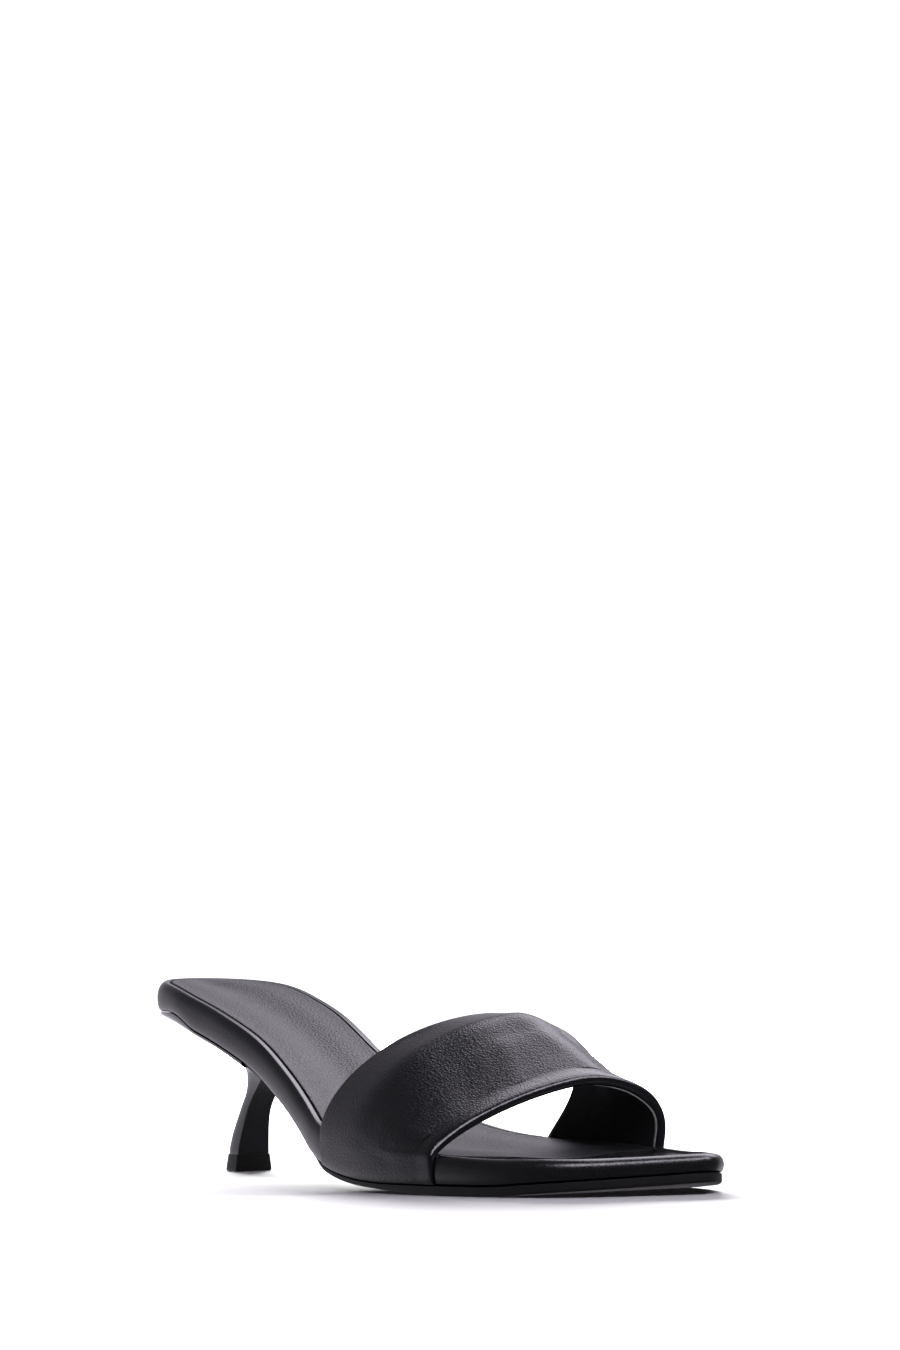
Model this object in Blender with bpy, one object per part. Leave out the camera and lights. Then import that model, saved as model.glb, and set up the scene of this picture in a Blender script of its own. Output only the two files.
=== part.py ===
"""A kitten heel mule for the right foot: one wide band over a wrapped footbed on a slim low heel.

The shoe is worked out in its own lengthwise frame: x runs from the back of the seat to the toe,
y runs from the little-toe side (negative) to the big-toe side (positive), z is up from the floor.
Every piece is a loft of closed loops, one loop for each row of the outline or each level of the heel.
The finished shoe is then centred over the origin, standing on the floor.
"""

import bmesh
import bpy
import numpy as np

# Driving dimensions, in metres
SHOE_LENGTH = 0.240
BALL_WIDTH = 0.078
SEAT_HEIGHT = 0.0462
TOE_SPRING = 0.0035
OUTSOLE_THICKNESS = 0.0026
OUTSOLE_INSET = 0.0006
OUTSOLE_WAIST_INSET = 0.0012
OUTSOLE_EDGE_RADIUS = 0.0007
FOOTBED_THICKNESS = 0.0089
RAND_WIDTH = 0.0036
RAND_GROOVE = 0.0005
SOCK_THICKNESS = 0.0013
TOE_STEP = 0.0004
SOCK_EDGE_RADIUS = 0.0004
SEAT_DISH = 0.0012
INSTEP_HEIGHT = 0.0480
UPPER_WALL = 0.0020
UPPER_PROUD = 0.0006
BEAD_RADIUS = 0.0015
MEDIAL_BULGE = 0.0083
MEDIAL_SCOOP = 0.0116
HEEL_CUP_DEPTH = 0.0016
HEEL_CUP_EDGE = 0.0007
HEEL_INSET = 0.0009
TIP_WIDTH = 0.0108
TIP_DEPTH = 0.0080
TOP_PIECE_HEIGHT = 0.0050
TOP_PIECE_PROUD = 0.0003
TOP_PIECE_FLARE = 0.0006
TOP_PIECE_EDGE_RADIUS = 0.0006
FIT_GAP = 0.0003

# Outline rows from the back of the seat to the toe, each a pair of points that face each other:
# lateral x, lateral y, medial x, medial y, forward bow of the row. x and bow are shares of
# SHOE_LENGTH, y is a share of BALL_WIDTH. The last row is the middle of the square toe.
OUTLINE = (
    (0.000, 0.005, 0.000, 0.005, 0.000),
    (0.013, -0.130, 0.014, 0.150, 0.000),
    (0.050, -0.224, 0.050, 0.250, 0.000),
    (0.110, -0.278, 0.110, 0.303, 0.000),
    (0.220, -0.306, 0.220, 0.280, 0.000),
    (0.350, -0.336, 0.350, 0.204, 0.000),
    (0.475, -0.418, 0.490, 0.196, 0.000),
    (0.532, -0.474, 0.570, 0.268, 0.004),
    (0.574, -0.507, 0.633, 0.348, 0.008),
    (0.665, -0.538, 0.695, 0.421, 0.018),
    (0.735, -0.523, 0.748, 0.467, 0.028),
    (0.794, -0.478, 0.797, 0.489, 0.036),
    (0.845, -0.419, 0.850, 0.490, 0.034),
    (0.892, -0.343, 0.908, 0.463, 0.022),
    (0.928, -0.260, 0.950, 0.404, 0.010),
    (0.950, -0.175, 0.982, 0.332, 0.004),
    (0.961, -0.090, 0.996, 0.250, 0.000),
    (0.981, 0.080, 0.981, 0.080, 0.000),
)
BAND_REAR_ROW = 8
BAND_FRONT_ROW = 11
HEEL_BREAST_ROW = 4.56
OUTSOLE_REAR_ROW = 4.575
SOCK_FRONT_ROW = 11.12
OUTSOLE_WAIST_ROW = 7.0
TOE_ROW = len(OUTLINE) - 1
STEPS_PER_ROW = 3
STEP_LEAD = 0.03

# Line of the sole: x as a share of SHOE_LENGTH, rise as a share of SEAT_HEIGHT, rise as a share
# of TOE_SPRING, share of OUTSOLE_THICKNESS, which thins out under the waist, and share of
# FOOTBED_THICKNESS, which thins out over the toe.
SOLE_LINE = (
    (0.00, 0.985, 0.00, 0.42, 1.00),
    (0.08, 0.945, 0.00, 0.42, 1.00),
    (0.18, 0.835, 0.00, 0.42, 1.00),
    (0.30, 0.655, 0.00, 0.42, 1.00),
    (0.42, 0.395, 0.00, 0.44, 1.00),
    (0.54, 0.128, 0.00, 0.48, 1.00),
    (0.62, 0.034, 0.00, 0.52, 1.00),
    (0.68, 0.006, 0.00, 0.54, 1.00),
    (0.72, 0.000, 0.00, 0.64, 1.00),
    (0.76, 0.000, 0.00, 0.83, 0.96),
    (0.80, 0.000, 0.00, 1.00, 0.88),
    (0.84, 0.000, 0.00, 1.00, 0.82),
    (0.87, 0.000, 0.06, 1.00, 0.78),
    (0.90, 0.000, 0.24, 1.00, 0.73),
    (0.95, 0.000, 0.54, 1.00, 0.62),
    (1.00, 0.000, 1.00, 1.00, 0.55),
)

# Side of the footbed from its bottom edge to its crest: inset from the outline as a share of
# RAND_WIDTH, height as a share of FOOTBED_THICKNESS.
RAND_PROFILE = (
    (0.36, 0.000),
    (0.16, 0.060),
    (0.04, 0.220),
    (0.00, 0.430),
    (0.05, 0.640),
    (0.20, 0.820),
    (0.45, 0.945),
    (0.72, 1.000),
    (0.90, 0.985),
)

# Sections of the band from its rear edge to its front edge: place from rear to front, crown x as
# a share of SHOE_LENGTH, crown y as a share of BALL_WIDTH, crown height as a share of
# INSTEP_HEIGHT, bulge over the big-toe side as a share of MEDIAL_BULGE, squareness of the
# lateral side, squareness of the medial side.
BAND_SECTIONS = (
    (0.00, 0.6205, 0.121, 0.996, 1.00, 1.75, 2.15),
    (0.25, 0.6740, 0.136, 0.995, 0.44, 1.75, 1.94),
    (0.50, 0.7150, 0.144, 0.895, 0.12, 1.62, 1.82),
    (0.75, 0.7535, 0.163, 0.752, 0.08, 1.47, 1.89),
    (1.00, 0.7890, 0.191, 0.607, 0.36, 1.38, 2.45),
)
BAND_TUCK_END = 0.43
BAND_SPRING = 0.95
BAND_DOME_STEPS = 36
BAND_LENGTH_STEPS = 9

# Rolled front edge of the band: where the roll leaves the outer face and where it meets the
# lining, in half turns, and how far the faces stop short of it, as shares of BEAD_RADIUS
BEAD_TURN = (0.72, -0.62)
BEAD_STEPS = 8
BEAD_OUTER_STOP = 1.25
BEAD_LINING_STOP = 2.4

# Folded rear edge of the band from the lining to the outer face: depth as a share of UPPER_WALL,
# reach forward of the edge's line in metres. The last row is the outer face's own first point.
REAR_FOLD = (
    (0.85, 0.0005),
    (0.62, 0.0000),
    (0.22, 0.0001),
    (0.00, 0.0006),
)

# Levels of the heel from its tip to the neck under the cup: height as a share of SEAT_HEIGHT,
# x of the flat breast as a share of SHOE_LENGTH, width as a share of TIP_WIDTH, depth as a share
# of TIP_DEPTH, squareness of the rounded back.
HEEL_LEVELS = (
    (0.000, 0.1529, 1.000, 1.000, 3.4),
    (0.120, 0.1529, 1.000, 1.000, 3.4),
    (0.200, 0.1555, 0.940, 1.010, 3.2),
    (0.300, 0.1605, 0.840, 0.950, 3.0),
    (0.395, 0.1675, 0.775, 0.870, 2.8),
    (0.485, 0.1800, 0.760, 0.950, 2.6),
    (0.570, 0.1970, 0.810, 1.330, 2.6),
    (0.640, 0.2140, 0.920, 1.880, 2.6),
)
HEEL_CENTRE_Y = 0.0064
HEEL_STEM_STEPS = 9
HEEL_CUP_SHARES = (0.03, 0.08, 0.16, 0.27, 0.42, 0.60, 0.80, 1.00)
HEEL_CUP_POWER = 5.0
HEEL_CUP_GROWTH = 1.6
HEEL_LIP_ROUND = 0.4
HEEL_SEAT_SHARES = (0.8, 0.6, 0.4, 0.2)
HEEL_BACK_STEPS = 26
HEEL_BREAST_STEPS = 4

# Side of the top piece from its tread up: outset as a share of TOP_PIECE_FLARE, inset as a share
# of TOP_PIECE_EDGE_RADIUS, height as a share of that radius
TOP_PIECE_EDGE = (
    (1.0, 1.0, 0.0),
    (1.0, 0.3, 0.3),
    (1.0, 0.0, 1.0),
)

# Side of the outsole from its top to its tread: inset as a share of OUTSOLE_EDGE_RADIUS, height
# as a share of its thickness
OUTSOLE_EDGE = (
    (0.0, 1.00),
    (0.0, 0.28),
    (0.3, 0.08),
    (1.0, 0.00),
)

# Places across a row, from -1 (lateral) to 1 (medial), and shares of a depth or of a slope
TREAD_PLACES = np.linspace(-0.8, 0.8, 7)
UNDER_PLACES = (-0.5, 0.0, 0.5)
RECESS_LIP = 0.4
PINCH_GROWTH = 1.6
SLOPE_STEP = 0.02

MERGE_DISTANCE = 1e-6
SHARP_ANGLE = np.radians(40.0)

# Plain looks: base colour, roughness
LOOKS = {
    "outsole_rubber": ((0.014, 0.014, 0.014, 1.0), 0.72),
    "footbed_leather": ((0.030, 0.030, 0.034, 1.0), 0.42),
    "insole_leather": ((0.032, 0.032, 0.036, 1.0), 0.45),
    "upper_leather": ((0.016, 0.016, 0.019, 1.0), 0.34),
    "heel_lacquer": ((0.010, 0.010, 0.011, 1.0), 0.16),
    "top_piece_rubber": ((0.012, 0.012, 0.012, 1.0), 0.60),
}


def monotone_curve(xs, ys, x):
    """Smooth curve through (xs, ys) that never overshoots, straight beyond its two ends."""
    xs = np.asarray(xs, float)
    ys = np.asarray(ys, float)
    step = np.diff(xs)
    slope = np.diff(ys) / step
    tangent = np.zeros(len(xs))
    tangent[0] = slope[0]
    tangent[-1] = slope[-1]
    for k in range(1, len(xs) - 1):
        if slope[k - 1] * slope[k] > 0.0:
            before = 2.0 * step[k] + step[k - 1]
            after = step[k] + 2.0 * step[k - 1]
            tangent[k] = (before + after) / (before / slope[k - 1] + after / slope[k])
    inside = np.clip(x, xs[0], xs[-1])
    k = np.clip(np.searchsorted(xs, inside, side="right") - 1, 0, len(xs) - 2)
    s = (inside - xs[k]) / step[k]
    value = (
        (2 * s**3 - 3 * s**2 + 1) * ys[k]
        + (s**3 - 2 * s**2 + s) * step[k] * tangent[k]
        + (3 * s**2 - 2 * s**3) * ys[k + 1]
        + (s**3 - s**2) * step[k] * tangent[k + 1]
    )
    return value + np.where(x < xs[0], tangent[0], tangent[-1]) * (x - inside)


def closed_spline(points, samples):
    """Closed centripetal spline through the points, read at sample values counted in points."""
    count = len(points)
    chord = np.sqrt(np.linalg.norm(np.roll(points, -1, axis=0) - points, axis=1))
    k = np.floor(samples).astype(int)
    part = (samples - k)[:, None]
    before, here, there, after = (points[(k + shift) % count] for shift in (-1, 0, 1, 2))
    d0, d1, d2 = (chord[(k + shift) % count][:, None] for shift in (-1, 0, 1))
    leave = (here - before) / d0 - (there - before) / (d0 + d1) + (there - here) / d1
    arrive = (there - here) / d1 - (after - here) / (d1 + d2) + (after - there) / d2
    return (
        (2 * part**3 - 3 * part**2 + 1) * here
        + (part**3 - 2 * part**2 + part) * d1 * leave
        + (3 * part**2 - 2 * part**3) * there
        + (part**3 - part**2) * d1 * arrive
    )


def outline_loop():
    """The outline's points in order: up the lateral side to the toe, back down the medial side."""
    table = np.array(OUTLINE)
    size = np.array([SHOE_LENGTH, BALL_WIDTH])
    lateral = table[:, 0:2] * size
    medial = table[1:-1, 2:4] * size
    return np.vstack([lateral, medial[::-1]])


def outline_side(rows, side, inset=0.0):
    """Points of the outline at the given rows, on side -1 (lateral) or 1 (medial), moved inwards."""
    loop = outline_loop()
    count = len(loop)
    samples = np.asarray(rows, float)
    if side > 0:
        samples = count - samples
    point = closed_spline(loop, np.mod(samples, count))
    ahead = closed_spline(loop, np.mod(samples + SLOPE_STEP, count))
    behind = closed_spline(loop, np.mod(samples - SLOPE_STEP, count))
    tangent = ahead - behind
    tangent /= np.linalg.norm(tangent, axis=1)[:, None]
    inward = np.stack([-tangent[:, 1], tangent[:, 0]], axis=1)
    return point + inward * np.asarray(inset)[..., None]


def row_bow(rows):
    """How far the middle of each row bows forward."""
    table = np.array(OUTLINE)
    return SHOE_LENGTH * monotone_curve(np.arange(len(table)), table[:, 4], np.asarray(rows, float))


def across(rows, inset, place):
    """Plan points at a place across the rows, from -1 (lateral) to 1 (medial)."""
    lateral = outline_side(rows, -1, inset)
    medial = outline_side(rows, 1, inset)
    middle = 0.5 * (1.0 + place)
    point = lateral * (1.0 - middle) + medial * middle
    point[:, 0] += row_bow(rows) * (1.0 - place**2)
    return point


def sole_line(x):
    """Rise of the whole sole from the forefoot's level over the floor."""
    table = np.array(SOLE_LINE)
    rise = SEAT_HEIGHT * table[:, 1] + TOE_SPRING * table[:, 2]
    return monotone_curve(table[:, 0] * SHOE_LENGTH, rise, x)


def outsole_top(x):
    """Height of the outsole's upper face."""
    return sole_line(x) + OUTSOLE_THICKNESS


def outsole_depth(x):
    """Thickness of the outsole."""
    table = np.array(SOLE_LINE)
    return OUTSOLE_THICKNESS * monotone_curve(table[:, 0] * SHOE_LENGTH, table[:, 3], x)


def footbed_bottom(x):
    """Height of the footbed's underside."""
    return outsole_top(x) + FIT_GAP


def footbed_depth(x):
    """Thickness of the footbed at its crest."""
    table = np.array(SOLE_LINE)
    return FOOTBED_THICKNESS * monotone_curve(table[:, 0] * SHOE_LENGTH, table[:, 4], x)


def tread_height(x, place):
    """Height of the foot's side of the footbed: level with the crest, dished across."""
    dish = SEAT_DISH * (1.0 - place**2)
    return footbed_bottom(x) + footbed_depth(x) - dish


def footbed_rows():
    """Rows of the footbed, with close pairs at the band's edges and at the front of the sock."""
    rows = np.arange(0, TOE_ROW * STEPS_PER_ROW + 1) / STEPS_PER_ROW
    steps = (
        BAND_REAR_ROW - STEP_LEAD,
        BAND_FRONT_ROW + STEP_LEAD,
        SOCK_FRONT_ROW,
        SOCK_FRONT_ROW + STEP_LEAD,
    )
    return np.unique(np.concatenate([rows, steps]))


def loft(name, loops, material):
    """A closed solid through closed loops of equal length, with each end capped or pinched shut."""
    ring_count, point_count = loops.shape[:2]
    mesh = bpy.data.meshes.new(name)
    faces = []
    for ring in range(ring_count - 1):
        for point in range(point_count):
            turn = (point + 1) % point_count
            here = ring * point_count
            there = here + point_count
            faces.append((here + point, here + turn, there + turn, there + point))
    mesh.from_pydata(loops.reshape(-1, 3).tolist(), [], faces)
    solid = bmesh.new()
    solid.from_mesh(mesh)
    bmesh.ops.remove_doubles(solid, verts=solid.verts, dist=MERGE_DISTANCE)
    bmesh.ops.dissolve_degenerate(solid, edges=solid.edges, dist=0.1 * MERGE_DISTANCE)
    border = [edge for edge in solid.edges if len(edge.link_faces) == 1]
    bmesh.ops.holes_fill(solid, edges=border, sides=0)
    bmesh.ops.triangulate(solid, faces=[face for face in solid.faces if len(face.verts) > 4])
    bmesh.ops.recalc_face_normals(solid, faces=solid.faces)
    solid.to_mesh(mesh)
    solid.free()
    mesh.materials.append(material)
    mesh.shade_smooth()
    mesh.set_sharp_from_angle(angle=SHARP_ANGLE)
    piece = bpy.data.objects.new(name, mesh)
    bpy.context.scene.collection.objects.link(piece)
    return piece


def lift(plan, height):
    """Plan points with their heights."""
    return np.column_stack([plan, height])


def build_outsole(material):
    """Thin rubber sole from the heel's breast to the toe, its lower edge rounded off."""
    inner = np.arange(np.ceil(OUTSOLE_REAR_ROW * STEPS_PER_ROW), TOE_ROW * STEPS_PER_ROW + 1)
    rows = np.concatenate([[OUTSOLE_REAR_ROW], inner / STEPS_PER_ROW])
    lean = OUTSOLE_INSET + OUTSOLE_WAIST_INSET * (1.0 - np.clip(rows - OUTSOLE_WAIST_ROW, 0.0, 1.0))
    edge = OUTSOLE_EDGE_RADIUS

    def column(place, inset, share):
        """Points at one place across, at a share of the thickness up from the tread."""
        plan = across(rows, lean + inset, place)
        x = plan[:, 0]
        return lift(plan, outsole_top(x) - outsole_depth(x) * (1.0 - share))

    columns = [column(-1.0, inset * edge, share) for inset, share in OUTSOLE_EDGE]
    columns += [column(place, edge, 0.0) for place in UNDER_PLACES]
    columns += [column(1.0, inset * edge, share) for inset, share in reversed(OUTSOLE_EDGE)]
    columns += [column(place, 0.0, 1.0) for place in reversed(UNDER_PLACES)]
    return loft("outsole", np.stack(columns, axis=1), material)


def build_footbed(material):
    """Wrapped footbed: a padded rand all round, a recess for the sock, a flat seat for the band."""
    rows = footbed_rows()
    under_band = (rows >= BAND_REAR_ROW) & (rows <= BAND_FRONT_ROW)
    squeeze = np.where(under_band, UPPER_WALL + FIT_GAP - UPPER_PROUD, 0.0)
    under_sock = rows <= SOCK_FRONT_ROW
    sink = np.where(under_sock, SOCK_THICKNESS + FIT_GAP, TOE_STEP)
    recess = RAND_WIDTH + RAND_GROOVE

    def side_columns(side):
        """The rand's profile on one side, from the bottom edge over the crest into the recess."""
        columns = []
        for inset_share, height_share in RAND_PROFILE:
            pinch = squeeze * np.minimum(1.0, PINCH_GROWTH * (1.0 - inset_share))
            plan = outline_side(rows, side, inset_share * RAND_WIDTH + pinch)
            rise = footbed_depth(plan[:, 0]) * height_share
            columns.append(lift(plan, footbed_bottom(plan[:, 0]) + rise))
        rim = outline_side(rows, side, RAND_WIDTH)
        columns.append(lift(rim, tread_height(rim[:, 0], 1.0) - RECESS_LIP * sink))
        floor = outline_side(rows, side, recess)
        columns.append(lift(floor, tread_height(floor[:, 0], 1.0) - sink))
        return columns

    columns = side_columns(-1)
    for place in TREAD_PLACES:
        plan = across(rows, recess, place)
        columns.append(lift(plan, tread_height(plan[:, 0], place) - sink))
    columns += reversed(side_columns(1))
    bottom_inset = RAND_PROFILE[0][0] * RAND_WIDTH
    for place in reversed(UNDER_PLACES):
        plan = across(rows, bottom_inset, place)
        columns.append(lift(plan, footbed_bottom(plan[:, 0])))
    return loft("footbed", np.stack(columns, axis=1), material)


def build_insole(material):
    """Thin padded sock lying in the footbed's recess, its upper edge rounded into the groove."""
    front = SOCK_FRONT_ROW - FIT_GAP / SHOE_LENGTH * TOE_ROW
    inner = np.arange(0, np.ceil(front * STEPS_PER_ROW)) / STEPS_PER_ROW
    rows = np.concatenate([inner, [front]])
    outer = RAND_WIDTH + RAND_GROOVE + FIT_GAP
    side = (
        (outer, -SOCK_THICKNESS),
        (outer, -SOCK_EDGE_RADIUS),
        (outer + SOCK_EDGE_RADIUS, 0.0),
    )

    def surface(place, inset, offset):
        plan = across(rows, inset, place)
        return lift(plan, tread_height(plan[:, 0], place) + offset)

    columns = [surface(-1.0, inset, offset) for inset, offset in side]
    columns += [surface(place, side[-1][0], 0.0) for place in TREAD_PLACES]
    columns += [surface(1.0, inset, offset) for inset, offset in reversed(side)]
    columns += [surface(place, outer, -SOCK_THICKNESS) for place in TREAD_PLACES[::-1]]
    return loft("insole", np.stack(columns, axis=1), material)


def band_surface(places):
    """Outer face of the band: one column for each place from its rear (0) to its front edge (1).

    Each column climbs the rand's side, crosses the foot on two superellipse quarters that meet
    at the crown, and goes down the other side of the rand.
    """
    rows = BAND_REAR_ROW + (BAND_FRONT_ROW - BAND_REAR_ROW) * places
    table = np.array(BAND_SECTIONS)
    crown_x = SHOE_LENGTH * monotone_curve(table[:, 0], table[:, 1], places)
    crown_y = BALL_WIDTH * monotone_curve(table[:, 0], table[:, 2], places)
    crown_z = INSTEP_HEIGHT * monotone_curve(table[:, 0], table[:, 3], places)
    bulge = MEDIAL_BULGE * monotone_curve(table[:, 0], table[:, 4], places)
    lateral_square = monotone_curve(table[:, 0], table[:, 5], places)
    medial_square = monotone_curve(table[:, 0], table[:, 6], places)
    climb = [row for row in RAND_PROFILE if row[1] < BAND_TUCK_END]
    climb += [(0.0, BAND_TUCK_END), (0.0, BAND_SPRING)]
    quarter = np.linspace(0.0, 1.0, BAND_DOME_STEPS // 2 + 1) * np.pi / 2

    def half(side, squareness):
        """One side of the band from the sole up to the crown."""
        steps = []
        for tuck, share in climb:
            plan = outline_side(rows, side, tuck * RAND_WIDTH - UPPER_PROUD)
            height = footbed_bottom(plan[:, 0]) + share * footbed_depth(plan[:, 0])
            steps.append(lift(plan, height))
        spring = steps[-1]
        for angle in quarter[1:]:
            out = np.cos(angle) ** (2.0 / squareness)
            up = np.sin(angle) ** (2.0 / squareness)
            x = crown_x + (spring[:, 0] - crown_x) * out
            y = crown_y + (spring[:, 1] - crown_y) * out
            z = spring[:, 2] + (crown_z - spring[:, 2]) * up
            if side > 0:
                y = y + bulge * np.sin(2.0 * angle) * np.cos(angle)
                x = x + MEDIAL_SCOOP * (1.0 - places) * np.sin(2.0 * angle) * np.cos(angle)
            steps.append(np.column_stack([x, y, z]))
        return steps

    lateral = half(-1, lateral_square)
    medial = half(1, medial_square)
    return np.stack(lateral + medial[-2::-1], axis=0)


def band_profile():
    """Closed profile of the band's wall: place from rear to front, depth inwards, reach forward.

    It runs along the outer face, round the thick rolled front edge, back along the lining and
    round the thin folded rear edge.
    """
    places = np.linspace(0.0, 1.0, BAND_LENGTH_STEPS)[1:-1]
    outer = [(place, 0.0, 0.0) for place in places]
    outer.append((1.0, 0.0, -BEAD_OUTER_STOP * BEAD_RADIUS))
    bead = []
    for turn in np.linspace(*BEAD_TURN, BEAD_STEPS) * np.pi:
        depth = UPPER_WALL - BEAD_RADIUS * (1.0 + np.sin(turn))
        bead.append((1.0, depth, BEAD_RADIUS * (np.cos(turn) - 1.0)))
    lining = [(1.0, UPPER_WALL, -BEAD_LINING_STOP * BEAD_RADIUS)]
    lining += [(place, UPPER_WALL, 0.0) for place in reversed(places)]
    fold = [(0.0, depth * UPPER_WALL, reach) for depth, reach in REAR_FOLD]
    return np.array(outer + bead + lining + fold)


def build_upper(material):
    """The band as one hollow wall, open at the toe and at the heel, closed below by the sole."""
    profile = band_profile()
    surface = band_surface(profile[:, 0])
    ahead = band_surface(np.minimum(profile[:, 0] + SLOPE_STEP, 1.0))
    behind = band_surface(np.maximum(profile[:, 0] - SLOPE_STEP, 0.0))
    forward = ahead - behind
    forward /= np.linalg.norm(forward, axis=2)[:, :, None]
    around = np.gradient(surface, axis=0)
    outward = np.cross(forward, around)
    outward /= np.linalg.norm(outward, axis=2)[:, :, None]
    if outward[len(surface) // 2, 0, 2] < 0.0:
        outward = -outward
    outward[0] *= (1.0, 1.0, 0.0)
    outward[-1] *= (1.0, 1.0, 0.0)
    loops = surface - outward * profile[:, 1][None, :, None] + forward * profile[:, 2][None, :, None]
    for end in (0, -1):
        loops[end, :, 2] = footbed_bottom(loops[end, :, 0])
    return loft("upper", loops, material)


def heel_section(height_share, proud=0.0):
    """Level loop of the heel: a superellipse back arc closed by the flat breast."""
    table = np.array(HEEL_LEVELS)
    breast, width, depth, squareness = (
        monotone_curve(table[:, 0], table[:, column], height_share) for column in (1, 2, 3, 4)
    )
    half_width = 0.5 * TIP_WIDTH * width + proud
    reach = TIP_DEPTH * depth + proud
    angle = np.linspace(0.0, np.pi, HEEL_BACK_STEPS + 1)
    power = 2.0 / squareness
    centre = HEEL_CENTRE_Y * BALL_WIDTH
    front = breast * SHOE_LENGTH
    x = front - reach * np.abs(np.sin(angle)) ** power
    y = centre - half_width * np.sign(np.cos(angle)) * np.abs(np.cos(angle)) ** power
    share = np.arange(1, HEEL_BREAST_STEPS) / HEEL_BREAST_STEPS
    x = np.concatenate([x, np.full(HEEL_BREAST_STEPS - 1, front)])
    y = np.concatenate([y, centre + half_width - 2.0 * half_width * share])
    return np.column_stack([x, y])


def seat_section(inset):
    """Loop of the heel's cup: the seat's outline closed by a straight breast."""
    half = HEEL_BACK_STEPS // 2
    rows = HEEL_BREAST_ROW * (1.0 - np.arange(half + 1) / half)
    lateral = outline_side(rows, -1, inset)
    medial = outline_side(rows[::-1], 1, inset)
    share = (np.arange(1, HEEL_BREAST_STEPS) / HEEL_BREAST_STEPS)[:, None]
    breast = medial[-1] + (lateral[0] - medial[-1]) * share
    return np.vstack([lateral, medial[1:], breast])


def cup_ceiling(x):
    """Height of the seat face that the heel's cup fits under."""
    return footbed_bottom(x) - FIT_GAP


def cup_depth(x):
    """Depth of the cup's rim: thin at the back of the seat, deepest at the breast."""
    breast = outline_side([HEEL_BREAST_ROW], -1)[0, 0]
    growth = np.clip(x / breast, 0.0, 1.0) ** HEEL_CUP_GROWTH
    return HEEL_CUP_EDGE + (HEEL_CUP_DEPTH - HEEL_CUP_EDGE) * growth


def build_heel(material):
    """Lacquered heel: a thin cup under the seat that gathers into a waisted stem."""
    table = np.array(HEEL_LEVELS)
    foot = TOP_PIECE_HEIGHT + FIT_GAP
    neck_share = table[-1, 0]
    neck_height = neck_share * SEAT_HEIGHT
    loops = []
    for share in np.linspace(foot / SEAT_HEIGHT, neck_share, HEEL_STEM_STEPS):
        section = heel_section(share)
        loops.append(lift(section, np.full(len(section), share * SEAT_HEIGHT)))
    neck = heel_section(neck_share)
    lip = seat_section(HEEL_INSET + HEEL_LIP_ROUND * HEEL_CUP_EDGE)
    for share in HEEL_CUP_SHARES:
        plan = neck + (lip - neck) * share
        level = cup_ceiling(plan[:, 0]) - cup_depth(lip[:, 0])
        drop = (level - neck_height) * (1.0 - share) ** HEEL_CUP_POWER
        loops.append(lift(plan, level - drop))
    rim = seat_section(HEEL_INSET)
    ceiling = cup_ceiling(rim[:, 0])
    loops.append(lift(rim, ceiling - (1.0 - HEEL_LIP_ROUND) * cup_depth(rim[:, 0])))
    loops.append(lift(rim, ceiling))
    middle = rim.mean(axis=0)
    for share in HEEL_SEAT_SHARES:
        plan = middle + (rim - middle) * share
        loops.append(lift(plan, cup_ceiling(plan[:, 0])))
    return loft("heel", np.stack(loops, axis=0), material)


def build_top_piece(material):
    """Hard rubber tip under the heel, its tread edge rounded."""
    levels = []
    for flare, inset, height in TOP_PIECE_EDGE:
        proud = TOP_PIECE_PROUD + TOP_PIECE_FLARE * flare - TOP_PIECE_EDGE_RADIUS * inset
        levels.append((proud, TOP_PIECE_EDGE_RADIUS * height))
    levels.append((TOP_PIECE_PROUD, TOP_PIECE_HEIGHT))
    loops = []
    for proud, height in levels:
        section = heel_section(0.0, proud)
        loops.append(lift(section, np.full(len(section), height)))
    return loft("top_piece", np.stack(loops, axis=0), material)


def principled(name, colour, roughness):
    """A plain surface material."""
    material = bpy.data.materials.new(name)
    material.use_nodes = True
    shader = material.node_tree.nodes["Principled BSDF"]
    shader.inputs["Base Color"].default_value = colour
    shader.inputs["Roughness"].default_value = roughness
    return material


def centre_shoe(pieces):
    """Moves the shoe so that the middle of its floor plan is over the origin."""
    corners = np.vstack([np.array([v.co[:] for v in piece.data.vertices]) for piece in pieces])
    middle = 0.5 * (corners.min(axis=0) + corners.max(axis=0))
    for piece in pieces:
        piece.location = (-middle[0], -middle[1], 0.0)


def main():
    for item in list(bpy.data.objects):
        bpy.data.objects.remove(item, do_unlink=True)
    looks = {name: principled(name, *values) for name, values in LOOKS.items()}
    pieces = [
        build_outsole(looks["outsole_rubber"]),
        build_footbed(looks["footbed_leather"]),
        build_insole(looks["insole_leather"]),
        build_upper(looks["upper_leather"]),
        build_heel(looks["heel_lacquer"]),
        build_top_piece(looks["top_piece_rubber"]),
    ]
    centre_shoe(pieces)


main()
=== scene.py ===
# %% [markdown]
# # A kitten heel mule, dressed
#
# The real shoe is a wide leather band sewn round a last, pulled under a wrapped footbed and glued
# to a thin rubber sole. A slim lacquered heel carries the seat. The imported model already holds
# these pieces at their real size. This lesson rebuilds each of them as a fine, smooth surface of
# the same form and gives it the leather, rubber or lacquer that the real piece has.

import bmesh
import bpy
import numpy as np
from mathutils import Matrix, Vector


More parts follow.
